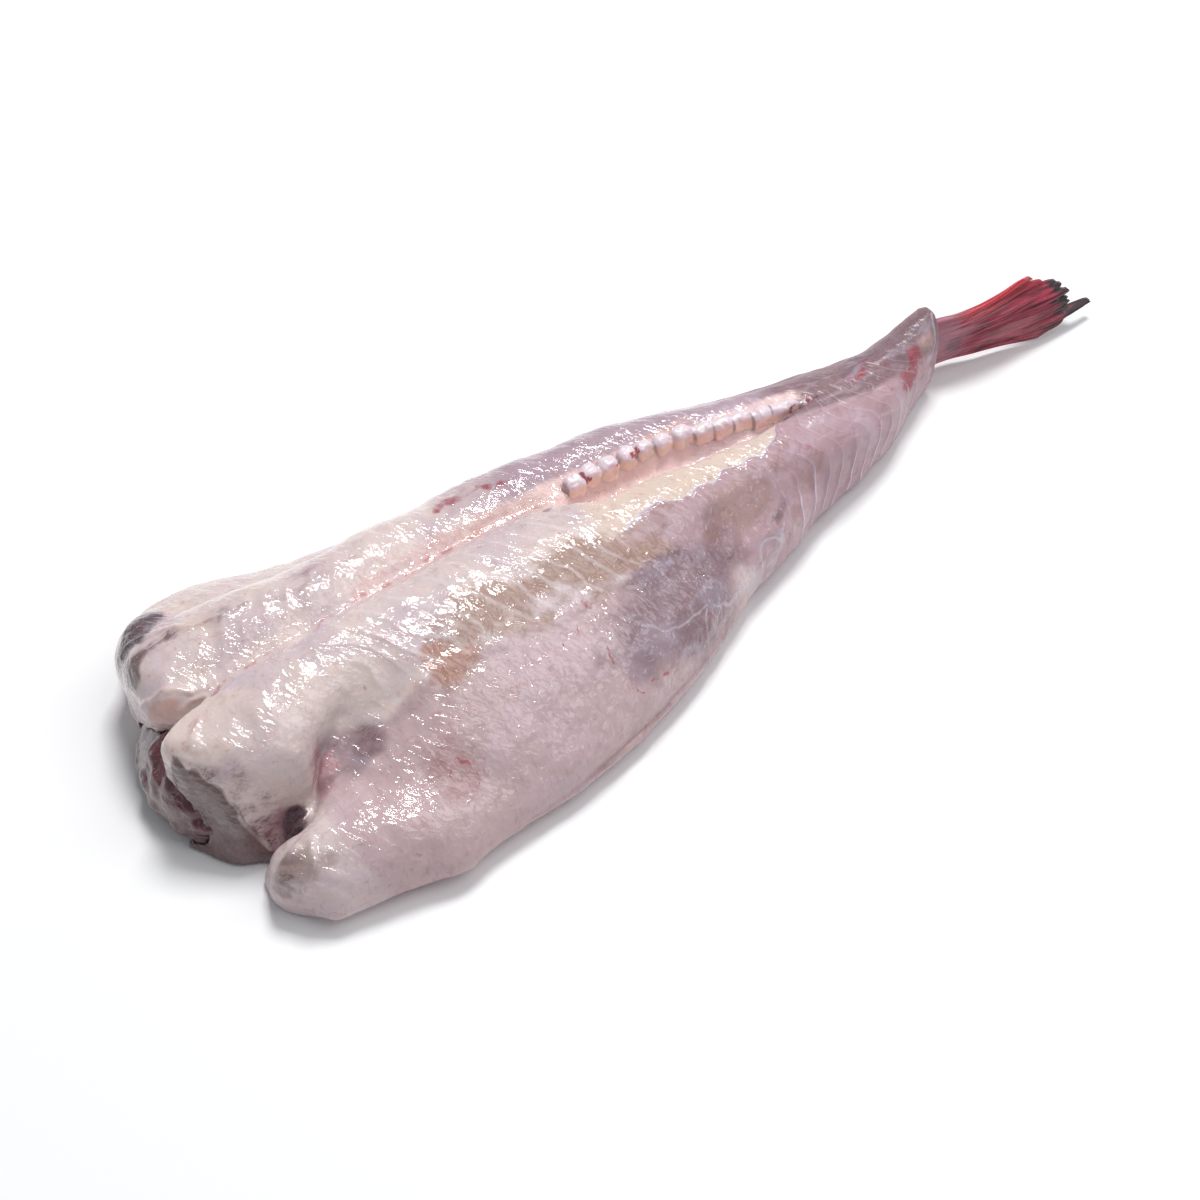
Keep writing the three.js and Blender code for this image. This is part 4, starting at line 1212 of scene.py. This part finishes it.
def fin_material():
    g = Graph("tail_fin")
    u, v = g.mask("u"), g.mask("v")
    streak = g.noise(2.6, 4, (12, 1, 1), seed=1, twist=0.3)
    colour = g.over(FIN_RED, FIN_DARK, g.level(streak, 0.35, 0.65))
    root = g.broken(g.level(u, 0.05, 0.5, 1, 0), g.noise(7, 3, seed=2), 0.6)
    colour = g.over(colour, FIN_PALE_ROOT, root, 0.8)
    crimson = g.product(g.level(v, 0.72, 0.95), g.level(u, 0.15, 0.5))
    colour = g.over(colour, FIN_CRIMSON, crimson, 0.8)
    grey = g.broken(g.mask("grey"), g.noise(3, 3, seed=3), 0.6)
    colour = g.over(colour, FIN_GREY, grey, 0.6)
    tips = g.broken(g.mask("tips"), g.noise(5, 3, (2, 1, 1), seed=4), 0.7)
    colour = g.over(colour, FIN_BLACK, tips)
    web = g.thread(2.2, 0.02, 5, 0.4, 2, (10, 1, 1))
    colour = g.over(colour, FIN_WEB_PINK, web, 0.25)
    return g.shaded({
        "Base Color": colour, "Roughness": g.level(streak, 0.3, 0.7, 0.3, 0.5), "Subsurface Weight": 0.2,
        "Subsurface Scale": 0.002, "Coat Weight": 0.35, "Coat Roughness": 0.12,
        "Normal": g.bump(streak, 0.35, 0.7),
    })


def fin_faces(along_count, across_count):
    """Quads of both sides, and those that close the tips between them."""
    faces = []
    offset = along_count * across_count
    for i in range(along_count - 1):
        for j in range(across_count - 1):
            a = i * across_count + j
            quad = (a, a + across_count, a + across_count + 1, a + 1)
            faces.append(quad)
            faces.append(tuple(offset + c for c in reversed(quad)))
    last = (along_count - 1) * across_count
    for j in range(across_count - 1):
        faces.append((last + j, last + offset + j, last + offset + j + 1, last + j + 1))
    return faces


def fin_masks(points, u, v):
    """The dark tips, which are longer on the lowest rays, and the bruises."""
    dark_from = 0.78 + 0.1 * ramp(0.24, 0.32, v)
    tips = ramp(dark_from, dark_from + 0.1, u) * ramp(0.08, 0.15, v) * ramp(0.84, 0.7, v)
    bruises = [blob(points, centre, radii) for centre, radii in FIN_BRUISES]
    return {"u": u, "v": v, "tips": tips, "grey": np.max(bruises, axis=0)}


def make_fin():
    across_count = FIN_RAYS * FIN_ACROSS_RAY
    u, v = np.meshgrid(np.linspace(0, 1, FIN_ALONG), np.linspace(0, 1, across_count), indexing="ij")
    points = np.concatenate([fin_point(u, v, side).reshape(-1, 3) for side in (-1, 1)])
    masks = fin_masks(points, np.tile(u.ravel(), 2), np.tile(v.ravel(), 2))
    faces = fin_faces(FIN_ALONG, across_count)
    make_piece("tail_fin_fan", points, faces, fin_material(), ["tail_fin"], masks)


make_flesh()
make_lining()
make_bases()
make_fin()

# ---- stage, light and camera

# The photograph's view, in degrees and mm. The target is in mm along the fish.
CAMERA_AZIMUTH = -35.79
CAMERA_ELEVATION = 50.0
CAMERA_DISTANCE = 983.3
CAMERA_TARGET = np.array((184.2, -36.6, 20.0))
CAMERA_LENS = 70
CAMERA_SENSOR = 36
# Soft lights: name, place and size in metres, power in watts.
LIGHTS = [
    ("key", (0.85, 0.85, 2.6), (0.9, 0.8), 60),
    ("fill", (1.2, -1.0, 2.6), (2.0, 2.0), 26),
]
FLOOR_COLOUR = (0.95, 0.95, 0.955, 1)
FLOOR_ROUGHNESS = 0.8
FLOOR_REACH = 6.0
# How far below the fish the floor lies, so that the two faces don't flicker.
FLOOR_DROP = 0.0004
SKY_COLOUR = (0.93, 0.96, 1.0, 1)
SKY_STRENGTH = 0.3


def aim(thing, direction):
    """Turns a camera or light to face a direction."""
    thing.rotation_mode = "QUATERNION"
    thing.rotation_quaternion = direction.to_track_quat("-Z", "Y")


def make_camera():
    a, e = math.radians(CAMERA_AZIMUTH), math.radians(CAMERA_ELEVATION)
    back = Vector((math.sin(a) * math.cos(e), -math.cos(a) * math.cos(e), math.sin(e)))
    data = bpy.data.cameras.new("camera")
    data.lens = CAMERA_LENS
    data.sensor_width = CAMERA_SENSOR
    data.clip_start = 0.01
    camera = bpy.data.objects.new("camera", data)
    camera.location = Vector((CAMERA_TARGET - ORIGIN) * MM) + back * CAMERA_DISTANCE * MM
    aim(camera, -back)
    bpy.context.scene.collection.objects.link(camera)
    bpy.context.scene.camera = camera


def area_light(name, place, size, power):
    data = bpy.data.lights.new(name, "AREA")
    data.shape = "RECTANGLE"
    data.size, data.size_y = size
    data.energy = power
    light = bpy.data.objects.new(name, data)
    light.location = place
    aim(light, -Vector(place))
    bpy.context.scene.collection.objects.link(light)


def make_floor():
    mesh = bpy.data.meshes.new("floor")
    corners = [(x * FLOOR_REACH, y * FLOOR_REACH, 0) for x, y in ((-1, -1), (1, -1), (1, 1), (-1, 1))]
    mesh.from_pydata(corners, [], [(0, 1, 2, 3)])
    material = bpy.data.materials.new("pale_floor")
    material.use_nodes = True
    shader = material.node_tree.nodes["Principled BSDF"]
    shader.inputs["Base Color"].default_value = FLOOR_COLOUR
    shader.inputs["Roughness"].default_value = FLOOR_ROUGHNESS
    mesh.materials.append(material)
    floor = bpy.data.objects.new("floor", mesh)
    floor.location.z = -FLOOR_DROP
    bpy.context.scene.collection.objects.link(floor)


def make_light():
    world = bpy.data.worlds.new("world")
    bpy.context.scene.world = world
    world.use_nodes = True
    sky = world.node_tree.nodes["Background"]
    sky.inputs["Color"].default_value = SKY_COLOUR
    sky.inputs["Strength"].default_value = SKY_STRENGTH
    bpy.context.scene.view_settings.view_transform = "Standard"
    for light in LIGHTS:
        area_light(*light)


make_floor()
make_light()
make_camera()
